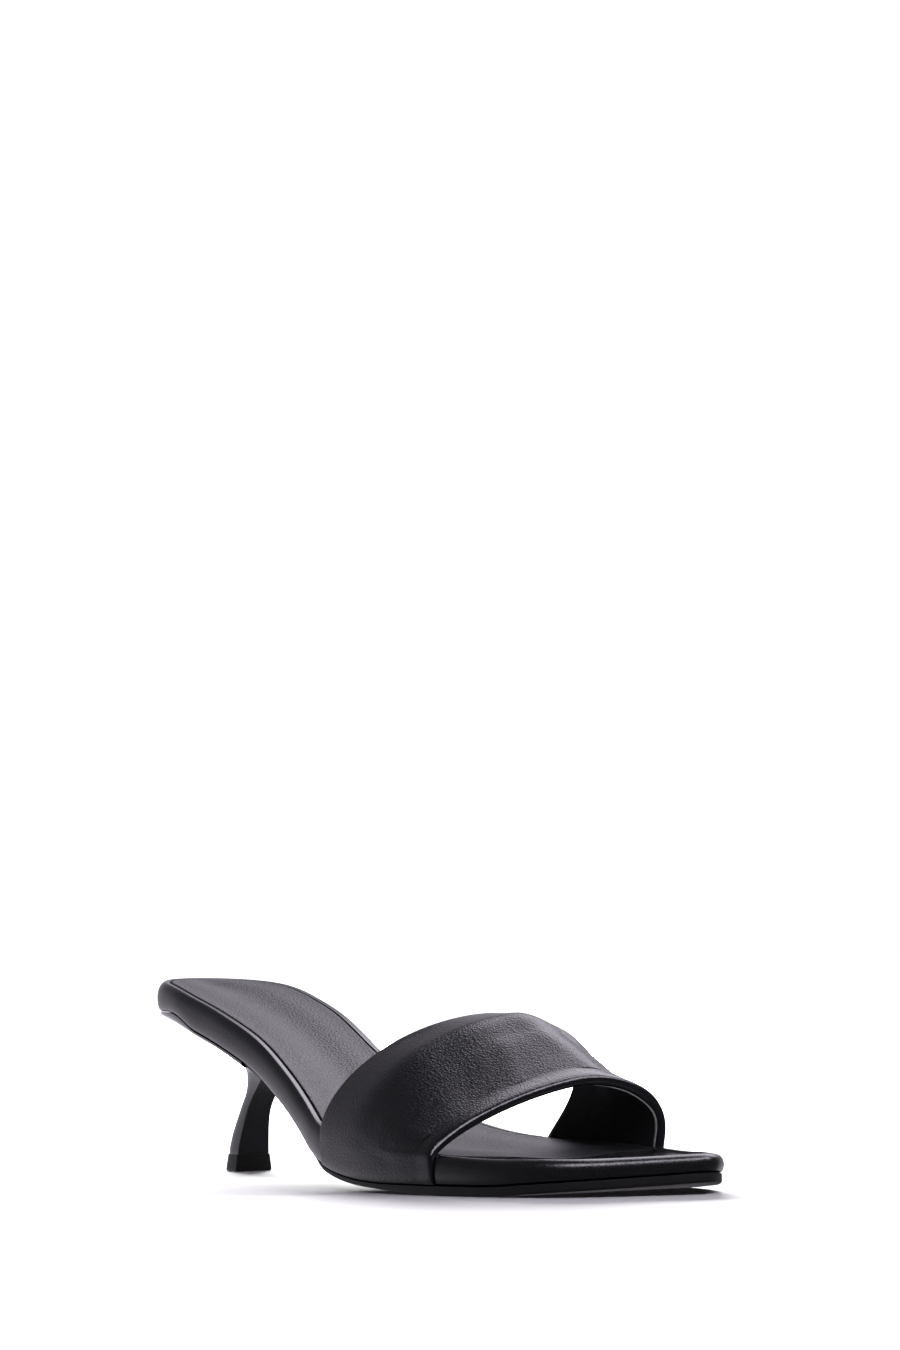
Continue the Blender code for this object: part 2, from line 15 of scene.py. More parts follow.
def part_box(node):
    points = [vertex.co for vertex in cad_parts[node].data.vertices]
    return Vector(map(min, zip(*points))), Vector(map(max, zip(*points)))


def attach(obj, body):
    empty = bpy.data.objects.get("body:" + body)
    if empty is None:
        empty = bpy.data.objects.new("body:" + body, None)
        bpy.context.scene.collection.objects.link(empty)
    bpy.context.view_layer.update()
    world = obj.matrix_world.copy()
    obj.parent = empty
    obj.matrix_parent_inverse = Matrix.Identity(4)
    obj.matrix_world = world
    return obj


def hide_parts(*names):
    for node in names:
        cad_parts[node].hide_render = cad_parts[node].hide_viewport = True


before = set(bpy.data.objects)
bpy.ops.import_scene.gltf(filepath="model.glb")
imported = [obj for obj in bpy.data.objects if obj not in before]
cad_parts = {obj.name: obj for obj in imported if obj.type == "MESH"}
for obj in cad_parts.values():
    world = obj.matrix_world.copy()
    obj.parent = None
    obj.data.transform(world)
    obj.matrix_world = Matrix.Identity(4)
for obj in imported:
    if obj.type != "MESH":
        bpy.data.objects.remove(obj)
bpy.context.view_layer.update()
MM = 0.001
print("nodes:", sorted(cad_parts))

# %% [markdown]
# ## The plan of the shoe
#
# A last maker draws the shoe's plan first. Here it is a closed curve through a few points, in
# facing pairs from the back of the seat to the toe. A row number walks along the shoe: row 0 is
# the back of the seat and row 17 the middle of the toe. Every later piece asks this curve for its
# edge at a row, moved inwards by some inset, so all the pieces keep fitting one another.

# %% The plan's points and curves
SHOE_LENGTH = 240 * MM
BALL_WIDTH = 78 * MM

# lateral x, lateral y, medial x, medial y, forward bow; x and bow as shares of SHOE_LENGTH,
# y as a share of BALL_WIDTH
OUTLINE = np.array([
    (0.000, 0.005, 0.000, 0.005, 0.000),
    (0.013, -0.130, 0.014, 0.150, 0.000),
    (0.050, -0.224, 0.050, 0.250, 0.000),
    (0.110, -0.278, 0.110, 0.303, 0.000),
    (0.220, -0.306, 0.220, 0.280, 0.000),
    (0.350, -0.336, 0.350, 0.204, 0.000),
    (0.475, -0.418, 0.490, 0.196, 0.000),
    (0.532, -0.474, 0.570, 0.268, 0.004),
    (0.574, -0.507, 0.633, 0.348, 0.008),
    (0.665, -0.538, 0.695, 0.421, 0.018),
    (0.735, -0.523, 0.748, 0.467, 0.028),
    (0.794, -0.478, 0.797, 0.489, 0.036),
    (0.845, -0.419, 0.850, 0.490, 0.034),
    (0.892, -0.343, 0.908, 0.463, 0.022),
    (0.928, -0.260, 0.950, 0.404, 0.010),
    (0.950, -0.175, 0.982, 0.332, 0.004),
    (0.961, -0.090, 0.996, 0.250, 0.000),
    (0.981, 0.080, 0.981, 0.080, 0.000),
])
TOE_ROW = len(OUTLINE) - 1
BAND_REAR_ROW = 8
BAND_FRONT_ROW = 11
HEEL_BREAST_ROW = 4.56
OUTSOLE_REAR_ROW = 4.575
SOCK_FRONT_ROW = 11.12
ROW_STEP = 1 / 14


def smooth_step(share):
    """A share held between 0 and 1 and eased: three times its square less twice its cube."""
    share = np.clip(share, 0, 1)
    return share**2 * (3 - 2 * share)


def smooth_curve(xs, ys, x):
    """Cubic pieces through (xs, ys). The slope at each point is the harmonic mean of the slopes on
    either side, or zero at a peak, so the curve never overshoots its points."""
    xs, ys = np.asarray(xs, float), np.asarray(ys, float)
    step = np.diff(xs)
    slope = np.diff(ys) / step
    before, after = slope[:-1], slope[1:]
    near, far = 2 * step[1:] + step[:-1], step[1:] + 2 * step[:-1]
    same_way = before * after > 0
    safe_before, safe_after = np.where(same_way, before, 1), np.where(same_way, after, 1)
    inner = np.where(same_way, (near + far) / (near / safe_before + far / safe_after), 0)
    tangent = np.concatenate([slope[:1], inner, slope[-1:]])
    inside = np.clip(x, xs[0], xs[-1])
    k = np.clip(np.searchsorted(xs, inside, side="right") - 1, 0, len(xs) - 2)
    s = (inside - xs[k]) / step[k]
    value = (
        (2 * s**3 - 3 * s**2 + 1) * ys[k]
        + (s**3 - 2 * s**2 + s) * step[k] * tangent[k]
        + (3 * s**2 - 2 * s**3) * ys[k + 1]
        + (s**3 - s**2) * step[k] * tangent[k + 1]
    )
    return value + np.where(x < xs[0], tangent[0], tangent[-1]) * (x - inside)


def closed_spline(points, samples):
    """A closed curve through the points. Each stretch is a cubic whose end tangents weigh the
    chords on either side by the square root of their lengths, which keeps tight corners calm."""
    count = len(points)
    chord = np.sqrt(np.linalg.norm(np.roll(points, -1, axis=0) - points, axis=1))
    k = np.floor(samples).astype(int)
    part = (samples - k)[:, None]
    before, here, there, after = (points[(k + shift) % count] for shift in (-1, 0, 1, 2))
    d0, d1, d2 = (chord[(k + shift) % count][:, None] for shift in (-1, 0, 1))
    leave = (here - before) / d0 - (there - before) / (d0 + d1) + (there - here) / d1
    arrive = (there - here) / d1 - (after - here) / (d1 + d2) + (after - there) / d2
    return (
        (2 * part**3 - 3 * part**2 + 1) * here
        + (part**3 - 2 * part**2 + part) * d1 * leave
        + (3 * part**2 - 2 * part**3) * there
        + (part**3 - part**2) * d1 * arrive
    )


LOOP = np.vstack([OUTLINE[:, 0:2], OUTLINE[-2:0:-1, 2:4]]) * (SHOE_LENGTH, BALL_WIDTH)
print("points in the plan:", len(LOOP))

# %% [markdown]
# A curve is asked for points in two ways: along one edge at some insets, or straight across from
# edge to edge. Both give only the plan, and the height is put on afterwards.

# %% Points on the plan's edge and across it
SLOPE_STEP = 0.02
BALL_ROW = 10.0


def edge(rows, side, insets):
    """Plan points on side -1 (little toe) or 1 (big toe): the curve's point at each row, moved
    along the inward normal by each inset. Gives rows x insets x 2."""
    samples = rows if side < 0 else len(LOOP) - rows
    point, ahead, behind = (
        closed_spline(LOOP, np.mod(samples + step, len(LOOP)))
        for step in (0, SLOPE_STEP, -SLOPE_STEP)
    )
    tangent = (ahead - behind) / np.linalg.norm(ahead - behind, axis=1)[:, None]
    inward = np.stack([-tangent[:, 1], tangent[:, 0]], axis=1)
    insets = np.broadcast_to(insets, (len(rows), np.shape(insets)[-1]))
    return point[:, None] + inward[:, None] * insets[..., None]


def across(rows, insets, places):
    """Plan points between the two edges: a straight row from place -1 to place 1, with its middle
    bowed forward by a parabola. Gives rows x places x 2."""
    insets = np.reshape(insets, (-1, 1))
    lateral, medial = edge(rows, -1, insets), edge(rows, 1, insets)
    middle = (1 + places)[None, :, None] / 2
    point = lateral * (1 - middle) + medial * middle
    bow = SHOE_LENGTH * smooth_curve(np.arange(TOE_ROW + 1), OUTLINE[:, 4], rows)
    point[..., 0] += bow[:, None] * (1 - places**2)
    return point


def lift(plan, height):
    """Plan points with their heights as the third coordinate."""
    return np.concatenate([plan, height[..., None]], axis=-1)


ball = across(np.array([BALL_ROW]), 0.0, np.array([-1.0, 1.0]))[0]
print("width over the ball, mm:", (np.ptp(ball[:, 1]) / MM).round(1))

# %% [markdown]
# ## The line of the sole
#
# Seen from the side the sole drops from the seat in one long curve, lies flat under the ball and
# springs up a little at the toe. That line is a height for every distance from the back of the
# seat, and each layer above it adds its own thickness.

# %% Heights along the shoe
SEAT_HEIGHT = 46.2 * MM
TOE_SPRING = 3.5 * MM
OUTSOLE_THICKNESS = 2.6 * MM
FOOTBED_THICKNESS = 8.9 * MM
SEAT_DISH = 1.2 * MM
DISH_START = 4.0 * MM
DISH_RUN = 12.0 * MM
CUP_CLIMB = 1.8 * MM
CUP_REACH = 42.0 * MM
CUP_LEAN = 1.7
FIT_GAP = 0.3 * MM

# x as a share of SHOE_LENGTH, rise as a share of SEAT_HEIGHT, rise as a share of TOE_SPRING,
# share of OUTSOLE_THICKNESS, share of FOOTBED_THICKNESS
SOLE_LINE = np.array([
    (0.00, 0.985, 0.00, 0.42, 1.00),
    (0.08, 0.945, 0.00, 0.42, 1.00),
    (0.18, 0.835, 0.00, 0.42, 1.00),
    (0.30, 0.655, 0.00, 0.42, 1.00),
    (0.42, 0.395, 0.00, 0.44, 1.00),
    (0.54, 0.128, 0.00, 0.48, 1.00),
    (0.62, 0.034, 0.00, 0.52, 1.00),
    (0.68, 0.006, 0.00, 0.54, 1.00),
    (0.72, 0.000, 0.00, 0.64, 1.00),
    (0.76, 0.000, 0.00, 0.83, 0.96),
    (0.80, 0.000, 0.00, 1.00, 0.88),
    (0.84, 0.000, 0.00, 1.00, 0.82),
    (0.87, 0.000, 0.06, 1.00, 0.78),
    (0.90, 0.000, 0.24, 1.00, 0.73),
    (0.95, 0.000, 0.54, 1.00, 0.62),
    (1.00, 0.000, 1.00, 1.00, 0.55),
])


def along_sole(values, x):
    """A value of the sole line's table at distance x from the back of the seat."""
    return smooth_curve(SOLE_LINE[:, 0] * SHOE_LENGTH, values, x)


def outsole_top(x):
    """Rise of the whole sole plus the outsole's full thickness."""
    rise = SEAT_HEIGHT * SOLE_LINE[:, 1] + TOE_SPRING * SOLE_LINE[:, 2]
    return along_sole(rise, x) + OUTSOLE_THICKNESS


def outsole_depth(x):
    """Thickness of the outsole, which thins out under the waist."""
    return along_sole(OUTSOLE_THICKNESS * SOLE_LINE[:, 3], x)


def footbed_bottom(x):
    """The outsole's top and the glue line's gap."""
    return outsole_top(x) + FIT_GAP


def footbed_depth(x):
    """Thickness of the footbed up to its crest, thinner towards the toe."""
    return along_sole(FOOTBED_THICKNESS * SOLE_LINE[:, 4], x)


def dish_share(x):
    """The dish's depth as a share of the full one: a smooth step that starts near the back."""
    return smooth_step((x - DISH_START) / DISH_RUN)


def tread_height(x, place):
    """Height of the foot's side: level with the crest, less a parabola across that is deepest in
    the middle and flat at the very back."""
    return footbed_bottom(x) + footbed_depth(x) - SEAT_DISH * dish_share(x) * (1 - place**2)


def cup_climb(x):
    """How far the heel's cup climbs up the rand: a squared sine from the back to the breast, its
    peak drawn forward by a power of the distance."""
    share = np.clip(x / CUP_REACH, 0, 1) ** CUP_LEAN
    return CUP_CLIMB * np.sin(np.pi * share) ** 2


crest = tread_height(np.zeros(1), 1.0)[0]
print("crest at the back of the seat, mm:", (crest / MM).round(1))

# %% [markdown]
# ## From a grid of points to a mesh
#
# A surface worked out with numpy is a grid: rows of points that all have the same number. Faces
# join each point to its neighbours. Where a grid ends in rows whose points coincide, the points
# are merged, which closes the seam, and Blender then turns all the faces outwards.

# %% The mesh maker
WELD = 1e-6
SHARP = np.radians(42)


def grid_faces(rings, points):
    """Corner numbers of the faces between neighbouring closed rings, as one array."""
    ring = np.arange(rings - 1)[:, None] * points
    here = np.arange(points)[None, :]
    turn = (here + 1) % points
    corners = [ring + here, ring + turn, ring + points + turn, ring + points + here]
    return np.stack(corners, axis=-1).reshape(-1, 4)


def make_piece(name, grid, node, material, tight=None):
    """A closed smooth piece from rings x points x 3. It rides on the shoe, stands for its node,
    which it hides, and takes the finish it is given. Tight says, for each point of a ring, how
    stretched it is."""
    rings, points = grid.shape[:2]
    mesh = bpy.data.meshes.new(name)
    faces = grid_faces(rings, points)
    mesh.from_pydata((grid.reshape(-1, 3) - ORIGIN).tolist(), [], faces.tolist())
    if tight is not None:
        stretch = mesh.attributes.new("tight", "FLOAT", "POINT")
        stretch.data.foreach_set("value", np.tile(tight, rings))
    work = bmesh.new()
    work.from_mesh(mesh)
    bmesh.ops.remove_doubles(work, verts=work.verts, dist=WELD)
    bmesh.ops.dissolve_degenerate(work, edges=work.edges, dist=WELD / 10)
    border = [item for item in work.edges if len(item.link_faces) == 1]
    bmesh.ops.holes_fill(work, edges=border, sides=0)
    bmesh.ops.recalc_face_normals(work, faces=work.faces)
    bmesh.ops.triangulate(work, faces=[face for face in work.faces if len(face.verts) > 4])
    open_edges = sum(len(item.link_faces) != 2 for item in work.edges)
    work.to_mesh(mesh)
    work.free()
    mesh.shade_smooth()
    mesh.set_sharp_from_angle(angle=SHARP)
    mesh.materials.append(material)
    piece = bpy.data.objects.new(name, mesh)
    bpy.context.scene.collection.objects.link(piece)
    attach(piece, "root")
    if node:
        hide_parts(node)
    print(f"{name}: {len(mesh.polygons)} faces, {open_edges} open edges")
    return piece


print("faces between three rings of eight points:", len(grid_faces(3, 8)))

# %% [markdown]
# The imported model's origin is the middle of the shoe's floor plan. The surfaces here are worked
# out from the back of the seat, so each is moved by the same amount: the back of the plan against
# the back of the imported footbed, and the plan's little-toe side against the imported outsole's.

# %% The move from the seat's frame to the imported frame
OUTSOLE_INSET = 0.6 * MM
all_rows = np.linspace(0, TOE_ROW, 2000)
plan_back = edge(all_rows, -1, [0.0])[..., 0].min()
sole_side = edge(all_rows, -1, [OUTSOLE_INSET])[..., 1].min()
ORIGIN = np.array([
    plan_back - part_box("footbed")[0].x,
    sole_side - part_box("outsole")[0].y,
    0.0,
])
print("origin in the seat's frame, mm:", (ORIGIN / MM).round(2))

# %% [markdown]
# ## Shader maths as Python
#
# A material is a tree of nodes. Here a small class wraps one socket, so that a sum, difference or
# product written in Python adds the Math node that does it. Any other node comes from one method.

# %% Sockets as values, and a material that is built from them
PEBBLE_BLEND = 0.35


class Wire:
    """One output socket of a tree, or a number, that can be added and multiplied."""

    def __init__(self, tree, socket):
        self.tree = tree
        self.socket = socket

    def _math(self, operation, first, second):
        return self.tree.node("ShaderNodeMath", {"operation": operation}, {0: first, 1: second})[0]

    def __add__(self, other):
        return self._math("ADD", self, other)

    def __sub__(self, other):
        return self._math("SUBTRACT", self, other)

    def __rsub__(self, other):
        return self._math("SUBTRACT", other, self)

    def __mul__(self, other):
        return self._math("MULTIPLY", self, other)

    def between(self, low, high):
        """0 below low, 1 above high, and a smooth step between."""
        settings = {"interpolation_type": "SMOOTHSTEP"}
        values = {"Value": self, "From Min": low, "From Max": high}
        return self.tree.node("ShaderNodeMapRange", settings, values)["Result"]


class Outputs:
    """One made node, whose outputs are read as wires."""

    def __init__(self, tree, made):
        self.tree = tree
        self.made = made

    def __getitem__(self, key):
        return Wire(self.tree, self.made.outputs[key])


class Tree:
    """A tree of nodes and the ways to grow it."""

    def __init__(self, tree):
        self.tree = tree

    def feed(self, node, values):
        """Sets each named socket to a value, or links it to a wire."""
        for key, value in values.items():
            if isinstance(value, Wire):
                self.tree.links.new(value.socket, node.inputs[key])
            else:
                node.inputs[key].default_value = value

    def node(self, kind, settings, values):
        """Adds a node: its settings are set first, then its sockets are fed."""
        made = self.tree.nodes.new(kind)
        for key, value in settings.items():
            setattr(made, key, value)
        self.feed(made, values)
        return Outputs(self, made)

    def colours(self, factor, low, high):
        """A colour between low and high."""
        settings = {"data_type": "RGBA"}
        values = {0: factor, 6: (*low, 1), 7: (*high, 1)}
        return self.node("ShaderNodeMix", settings, values)[2]


class Finish(Tree):
    """A material, its tree and its Principled shader."""

    def __init__(self, name, colour, roughness, **constants):
        self.material = bpy.data.materials.new(name)
        self.material.use_nodes = True
        super().__init__(self.material.node_tree)
        self.shader = self.tree.nodes["Principled BSDF"]
        self.feed(self.shader, {"Base Color": colour, "Roughness": roughness, **constants})
        self.place = self.node("ShaderNodeTexCoord", {}, {})["Object"]

    def noise(self, size, detail=2.0, roughness=0.5):
        """Soft random values from 0 to 1, in blobs of about the given size."""
        values = {"Vector": self.place, "Scale": 1 / size, "Detail": detail, "Roughness": roughness}
        return self.node("ShaderNodeTexNoise", {}, values)["Fac"]

    def pebbles(self, size):
        """Distance to the nearest of many scattered points: low in each pebble's middle."""
        settings = {"feature": "SMOOTH_F1"}
        values = {"Vector": self.place, "Scale": 1 / size, "Smoothness": PEBBLE_BLEND}
        return self.node("ShaderNodeTexVoronoi", settings, values)["Distance"]

    def bump(self, height, depth):
        """Feeds the shader's normal with a relief of the given depth."""
        values = {"Height": height, "Distance": depth, "Strength": 1.0}
        relief = self.node("ShaderNodeBump", {}, values)["Normal"]
        self.feed(self.shader, {"Normal": relief})


# %% [markdown]
# ## The finishes
#
# All of the shoe is black, so the finishes differ in gloss and grain. The band is a soft leather
# with fine pebbles. The footbed's wrap is the same leather pulled tight, so its pebbles are
# flatter and its gloss is higher. The sock is worn satin. The heel is lacquered, and the sole is
# rubber with a fine dry texture.

# %% Leather
DRIFT_SIZE = 22 * MM
PORE_SIZE = 0.40 * MM
PEBBLE_DULLING = 0.08
PEBBLE_RELIEF = 0.7
PORE_RELIEF = 0.6
COAT_ROUGHNESS = 0.20
TIGHT_GLOSS = 0.15
TIGHT_SMOOTH = 0.75


def leather(name, low, high, gloss, pebble, depth, coat):
    """Pebbled leather: colour and roughness drift softly, relief is pebbles plus fine pores. Where
    the skin is stretched tight, its gloss rises and its grain lies flat."""
    coating = {"Coat Weight": coat, "Coat Roughness": COAT_ROUGHNESS}
    finish = Finish(name, (*low, 1), gloss[0], **coating)
    drift = finish.noise(DRIFT_SIZE, detail=3)
    pores = finish.noise(PORE_SIZE, detail=2, roughness=0.6)
    grain = finish.pebbles(pebble)
    finish.feed(finish.shader, {"Base Color": finish.colours(drift, low, high)})
    tight = finish.node("ShaderNodeAttribute", {"attribute_name": "tight"}, {})["Fac"]
    patchy = drift * (gloss[1] - gloss[0]) + grain * PEBBLE_DULLING + gloss[0]
    finish.feed(finish.shader, {"Roughness": patchy - tight * TIGHT_GLOSS})
    relief = grain * PEBBLE_RELIEF + pores * PORE_RELIEF
    finish.bump(relief * (1 - tight * TIGHT_SMOOTH), depth)
    return finish.material


BAND_LEATHER = leather(
    "band_leather", (0.0045, 0.0045, 0.0065), (0.0080, 0.0080, 0.0105), (0.24, 0.32),
    pebble=0.65 * MM, depth=0.15 * MM, coat=0.12,
)
WRAP_LEATHER = leather(
    "wrap_leather", (0.0045, 0.0045, 0.0060), (0.0080, 0.0080, 0.0100), (0.22, 0.30),
    pebble=0.60 * MM, depth=0.045 * MM, coat=0.20,
)
SOCK_LEATHER = leather(
    "sock_leather", (0.007, 0.007, 0.009), (0.015, 0.015, 0.018), (0.32, 0.42),
    pebble=0.70 * MM, depth=0.20 * MM, coat=0.0,
)
LINING_LEATHER = leather(
    "lining_leather", (0.004, 0.004, 0.005), (0.008, 0.008, 0.009), (0.58, 0.70),
    pebble=0.60 * MM, depth=0.10 * MM, coat=0.0,
)
print("leathers:", BAND_LEATHER.name, WRAP_LEATHER.name, SOCK_LEATHER.name, LINING_LEATHER.name)

# %% [markdown]
# The harder pieces are simpler. Rubber is dull with fine bumps, lacquer is smooth under a clear
# coat, and the lining's cut edge is pale and fibrous.

# %% Rubber, lacquer and the cut edge
MOTTLE_SIZE = 9 * MM
MOTTLE = 0.12
LACQUER_COLOUR = (0.004, 0.004, 0.005, 1)
LACQUER_ROUGHNESS = 0.24
LACQUER_COAT_ROUGHNESS = 0.06
LACQUER_GLOSS = (0.20, 0.26)
LACQUER_SWELL = 3.5 * MM
LACQUER_RELIEF = 0.02 * MM
FIBRE_SIZE = 0.5 * MM
FIBRE_RELIEF = 0.05 * MM


def rubber(name, low, high, roughness, grain, depth):
    """Dry rubber: fine bumps and a slight mottling."""
    finish = Finish(name, (*low, 1), roughness)
    drift = finish.noise(MOTTLE_SIZE, detail=3)
    speckle = finish.noise(grain, detail=3, roughness=0.6)
    finish.feed(finish.shader, {"Base Color": finish.colours(drift, low, high)})
    finish.feed(finish.shader, {"Roughness": drift * MOTTLE + (roughness - MOTTLE / 2)})
    finish.bump(speckle, depth)
    return finish.material


def lacquer():
    """Poured black lacquer: almost even gloss with a faint orange-peel relief under its coat."""
    coat = {"Coat Weight": 1.0, "Coat Roughness": LACQUER_COAT_ROUGHNESS}
    finish = Finish("heel_lacquer", LACQUER_COLOUR, LACQUER_ROUGHNESS, **coat)
    swell = finish.noise(LACQUER_SWELL, detail=1)
    smooth, rough = LACQUER_GLOSS
    finish.feed(finish.shader, {"Roughness": swell * (rough - smooth) + smooth})
    finish.bump(swell, LACQUER_RELIEF)
    return finish.material


def cut_edge():
    """The pale raw edge of the lining, where the knife has opened the skin."""
    finish = Finish("cut_edge", (0.20, 0.20, 0.21, 1), 0.7)
    fibre = finish.noise(FIBRE_SIZE, detail=3)
    colour = finish.colours(fibre, (0.22, 0.22, 0.23), (0.48, 0.48, 0.50))
    finish.feed(finish.shader, {"Base Color": colour})
    finish.bump(fibre, FIBRE_RELIEF)
    return finish.material


SOLE_RUBBER = rubber(
    "sole_rubber", (0.004, 0.004, 0.004), (0.009, 0.009, 0.009), 0.62,
    grain=0.45 * MM, depth=0.08 * MM,
)
TIP_RUBBER = rubber(
    "tip_rubber", (0.005, 0.005, 0.005), (0.009, 0.009, 0.009), 0.42,
    grain=0.50 * MM, depth=0.03 * MM,
)
HEEL_LACQUER = lacquer()
CUT_EDGE = cut_edge()
print("hard finishes:", SOLE_RUBBER.name, TIP_RUBBER.name, HEEL_LACQUER.name, CUT_EDGE.name)

# %% [markdown]
# ## The outsole
#
# A thin sheet of rubber, cut a little smaller than the footbed so that the rand overhangs it. Its
# section is a flat loop with the lower corners rounded, carried row by row along the plan.

# %% Outsole
OUTSOLE_WAIST_INSET = 1.2 * MM
OUTSOLE_WAIST_ROW = 7.0
OUTSOLE_EDGE_RADIUS = 0.7 * MM
OUTSOLE_EDGE_LIMIT = 0.7


def quarter_turns(count):
    """Angles of a quarter circle, from 0 to a right angle."""
    return np.linspace(0, np.pi / 2, count)


def outsole_grid():
    """Rows of closed loops: across the tread, round a quarter circle up each side, back across
    the top. Height is a share of the thickness down from the outsole's top."""
    inner = np.arange(np.ceil(OUTSOLE_REAR_ROW / ROW_STEP), TOE_ROW / ROW_STEP + 1) * ROW_STEP
    rows = np.concatenate([[OUTSOLE_REAR_ROW], inner])
    waist = 1 - np.clip(rows - OUTSOLE_WAIST_ROW, 0, 1)
    lean = (OUTSOLE_INSET + OUTSOLE_WAIST_INSET * waist)[:, None]
    turn = quarter_turns(7)
    radius = OUTSOLE_EDGE_RADIUS
    insets = lean + radius * np.concatenate([[0.0], 1 - np.cos(turn)])
    tread_places = np.linspace(-1, 1, 25)[1:-1]

    def heights(plan, drop):
        """Top of the outsole, less its depth, plus what the rounded corner leaves."""
        x = plan[..., 0]
        depth = outsole_depth(x)
        corner = np.minimum(radius, OUTSOLE_EDGE_LIMIT * depth)
        rise = np.where(drop < 0, depth, corner * (1 - drop))
        return lift(plan, outsole_top(x) - depth + rise)

    drop = np.concatenate([[-1.0], np.sin(turn)])
    lateral = heights(edge(rows, -1, insets), drop)
    medial = heights(edge(rows, 1, insets), drop)[:, ::-1]
    tread = heights(across(rows, lean + radius, tread_places), 1.0)
    top = heights(across(rows, lean, tread_places[::-1]), -1.0)
    return np.concatenate([lateral, tread, medial, top], axis=1)


make_piece("outsole_sheet", outsole_grid(), "outsole", SOLE_RUBBER)

# %% [markdown]
# ## The footbed
#
# The footbed is foam wrapped in leather. Its padded edge, the rand, has the section of a soft
# roll: tucked in at the bottom, fullest just below half its height, and turned over the crest into
# a narrow groove where the sock lies. Under the band the rand is pressed in by the band's wall.

# %% Footbed
RAND_WIDTH = 3.6 * MM
RAND_GROOVE = 0.5 * MM
SOCK_THICKNESS = 1.3 * MM
TOE_STEP = 0.65 * MM
UPPER_WALL = 2.0 * MM
UPPER_PROUD = 0.6 * MM
STEP_LEAD = 0.03
RAND_STEPS = 30
PINCH_FADE = 1.6

# inset as a share of RAND_WIDTH, height as a share of FOOTBED_THICKNESS
RAND_PROFILE = np.array([
    (0.36, 0.000),
    (0.16, 0.060),
    (0.04, 0.220),
    (0.00, 0.430),
    (0.05, 0.640),
    (0.20, 0.820),
    (0.45, 0.945),
    (0.72, 1.000),
    (0.90, 0.985),
])
TREAD_PLACES = np.linspace(-0.8, 0.8, 25)
UNDER_PLACES = np.linspace(-0.8, 0.8, 9)
GROOVE_DEPTHS = np.array([0.06, 0.25, 0.60, 0.90, 1.00])
GROOVE_INSETS = np.array([0.25, 0.50, 0.70, 0.85, 1.00])


def rand_curve():
    """Insets and heights of the rand's section, smooth through its points by chord length."""
    chord = np.concatenate([[0], np.cumsum(np.linalg.norm(np.diff(RAND_PROFILE, axis=0), axis=1))])
    t = np.linspace(0, chord[-1], RAND_STEPS)
    return smooth_curve(chord, RAND_PROFILE[:, 0], t), smooth_curve(chord, RAND_PROFILE[:, 1], t)


def footbed_grid():
    """Rows of closed loops: up the rand, down into the sock's recess, across its floor, and the
    same on the other side. The rand is pinched under the band, the recess ends at the sock."""
    steps = (BAND_REAR_ROW - STEP_LEAD, BAND_REAR_ROW, BAND_FRONT_ROW, BAND_FRONT_ROW + STEP_LEAD)
    sock_end = (SOCK_FRONT_ROW, SOCK_FRONT_ROW + STEP_LEAD)
    even = np.linspace(0, TOE_ROW, round(TOE_ROW / ROW_STEP) + 1)
    rows = np.unique(np.concatenate([even, steps, sock_end]))
    under_band = (rows >= BAND_REAR_ROW) & (rows <= BAND_FRONT_ROW)
    squeeze = np.where(under_band, UPPER_WALL + FIT_GAP - UPPER_PROUD, 0)[:, None]
    sink = np.where(rows <= SOCK_FRONT_ROW, SOCK_THICKNESS + FIT_GAP, TOE_STEP)[:, None]
    insets, heights = rand_curve()
    pinch = squeeze * np.minimum(1, PINCH_FADE * (1 - insets))
    recess = RAND_WIDTH + RAND_GROOVE * GROOVE_INSETS

    def side(sign):
        """The rand and the groove's wall on one side."""
        rand = edge(rows, sign, insets * RAND_WIDTH + pinch)
        x = rand[..., 0]
        climb = cup_climb(x) * (1 - heights)
        rand = lift(rand, footbed_bottom(x) + footbed_depth(x) * heights + climb)
        wall = edge(rows, sign, np.broadcast_to(recess, (len(rows), len(recess))))
        wall = lift(wall, tread_height(wall[..., 0], 1.0) - sink * GROOVE_DEPTHS)
        return np.concatenate([rand, wall], axis=1)

    floor = across(rows, RAND_WIDTH + RAND_GROOVE, TREAD_PLACES)
    floor = lift(floor, tread_height(floor[..., 0], TREAD_PLACES) - sink)
    under = across(rows, RAND_PROFILE[0, 0] * RAND_WIDTH, UNDER_PLACES[::-1])
    under = lift(under, footbed_bottom(under[..., 0]) + cup_climb(under[..., 0]))
    return np.concatenate([side(-1), floor, side(1)[:, ::-1], under], axis=1)


make_piece("footbed_wrap", footbed_grid(), "footbed", WRAP_LEATHER)

# %% [markdown]
# ## The sock
#
# The leather sock is glued into the recess. It is thin, with a soft rolled edge, and the foam
# under it makes it swell a little between groove and middle.

# %% Sock
SOCK_EDGE_RADIUS = 0.4 * MM
SOCK_SWELL = 0.50 * MM
SOCK_PLACES = np.linspace(-0.94, 0.94, 41)


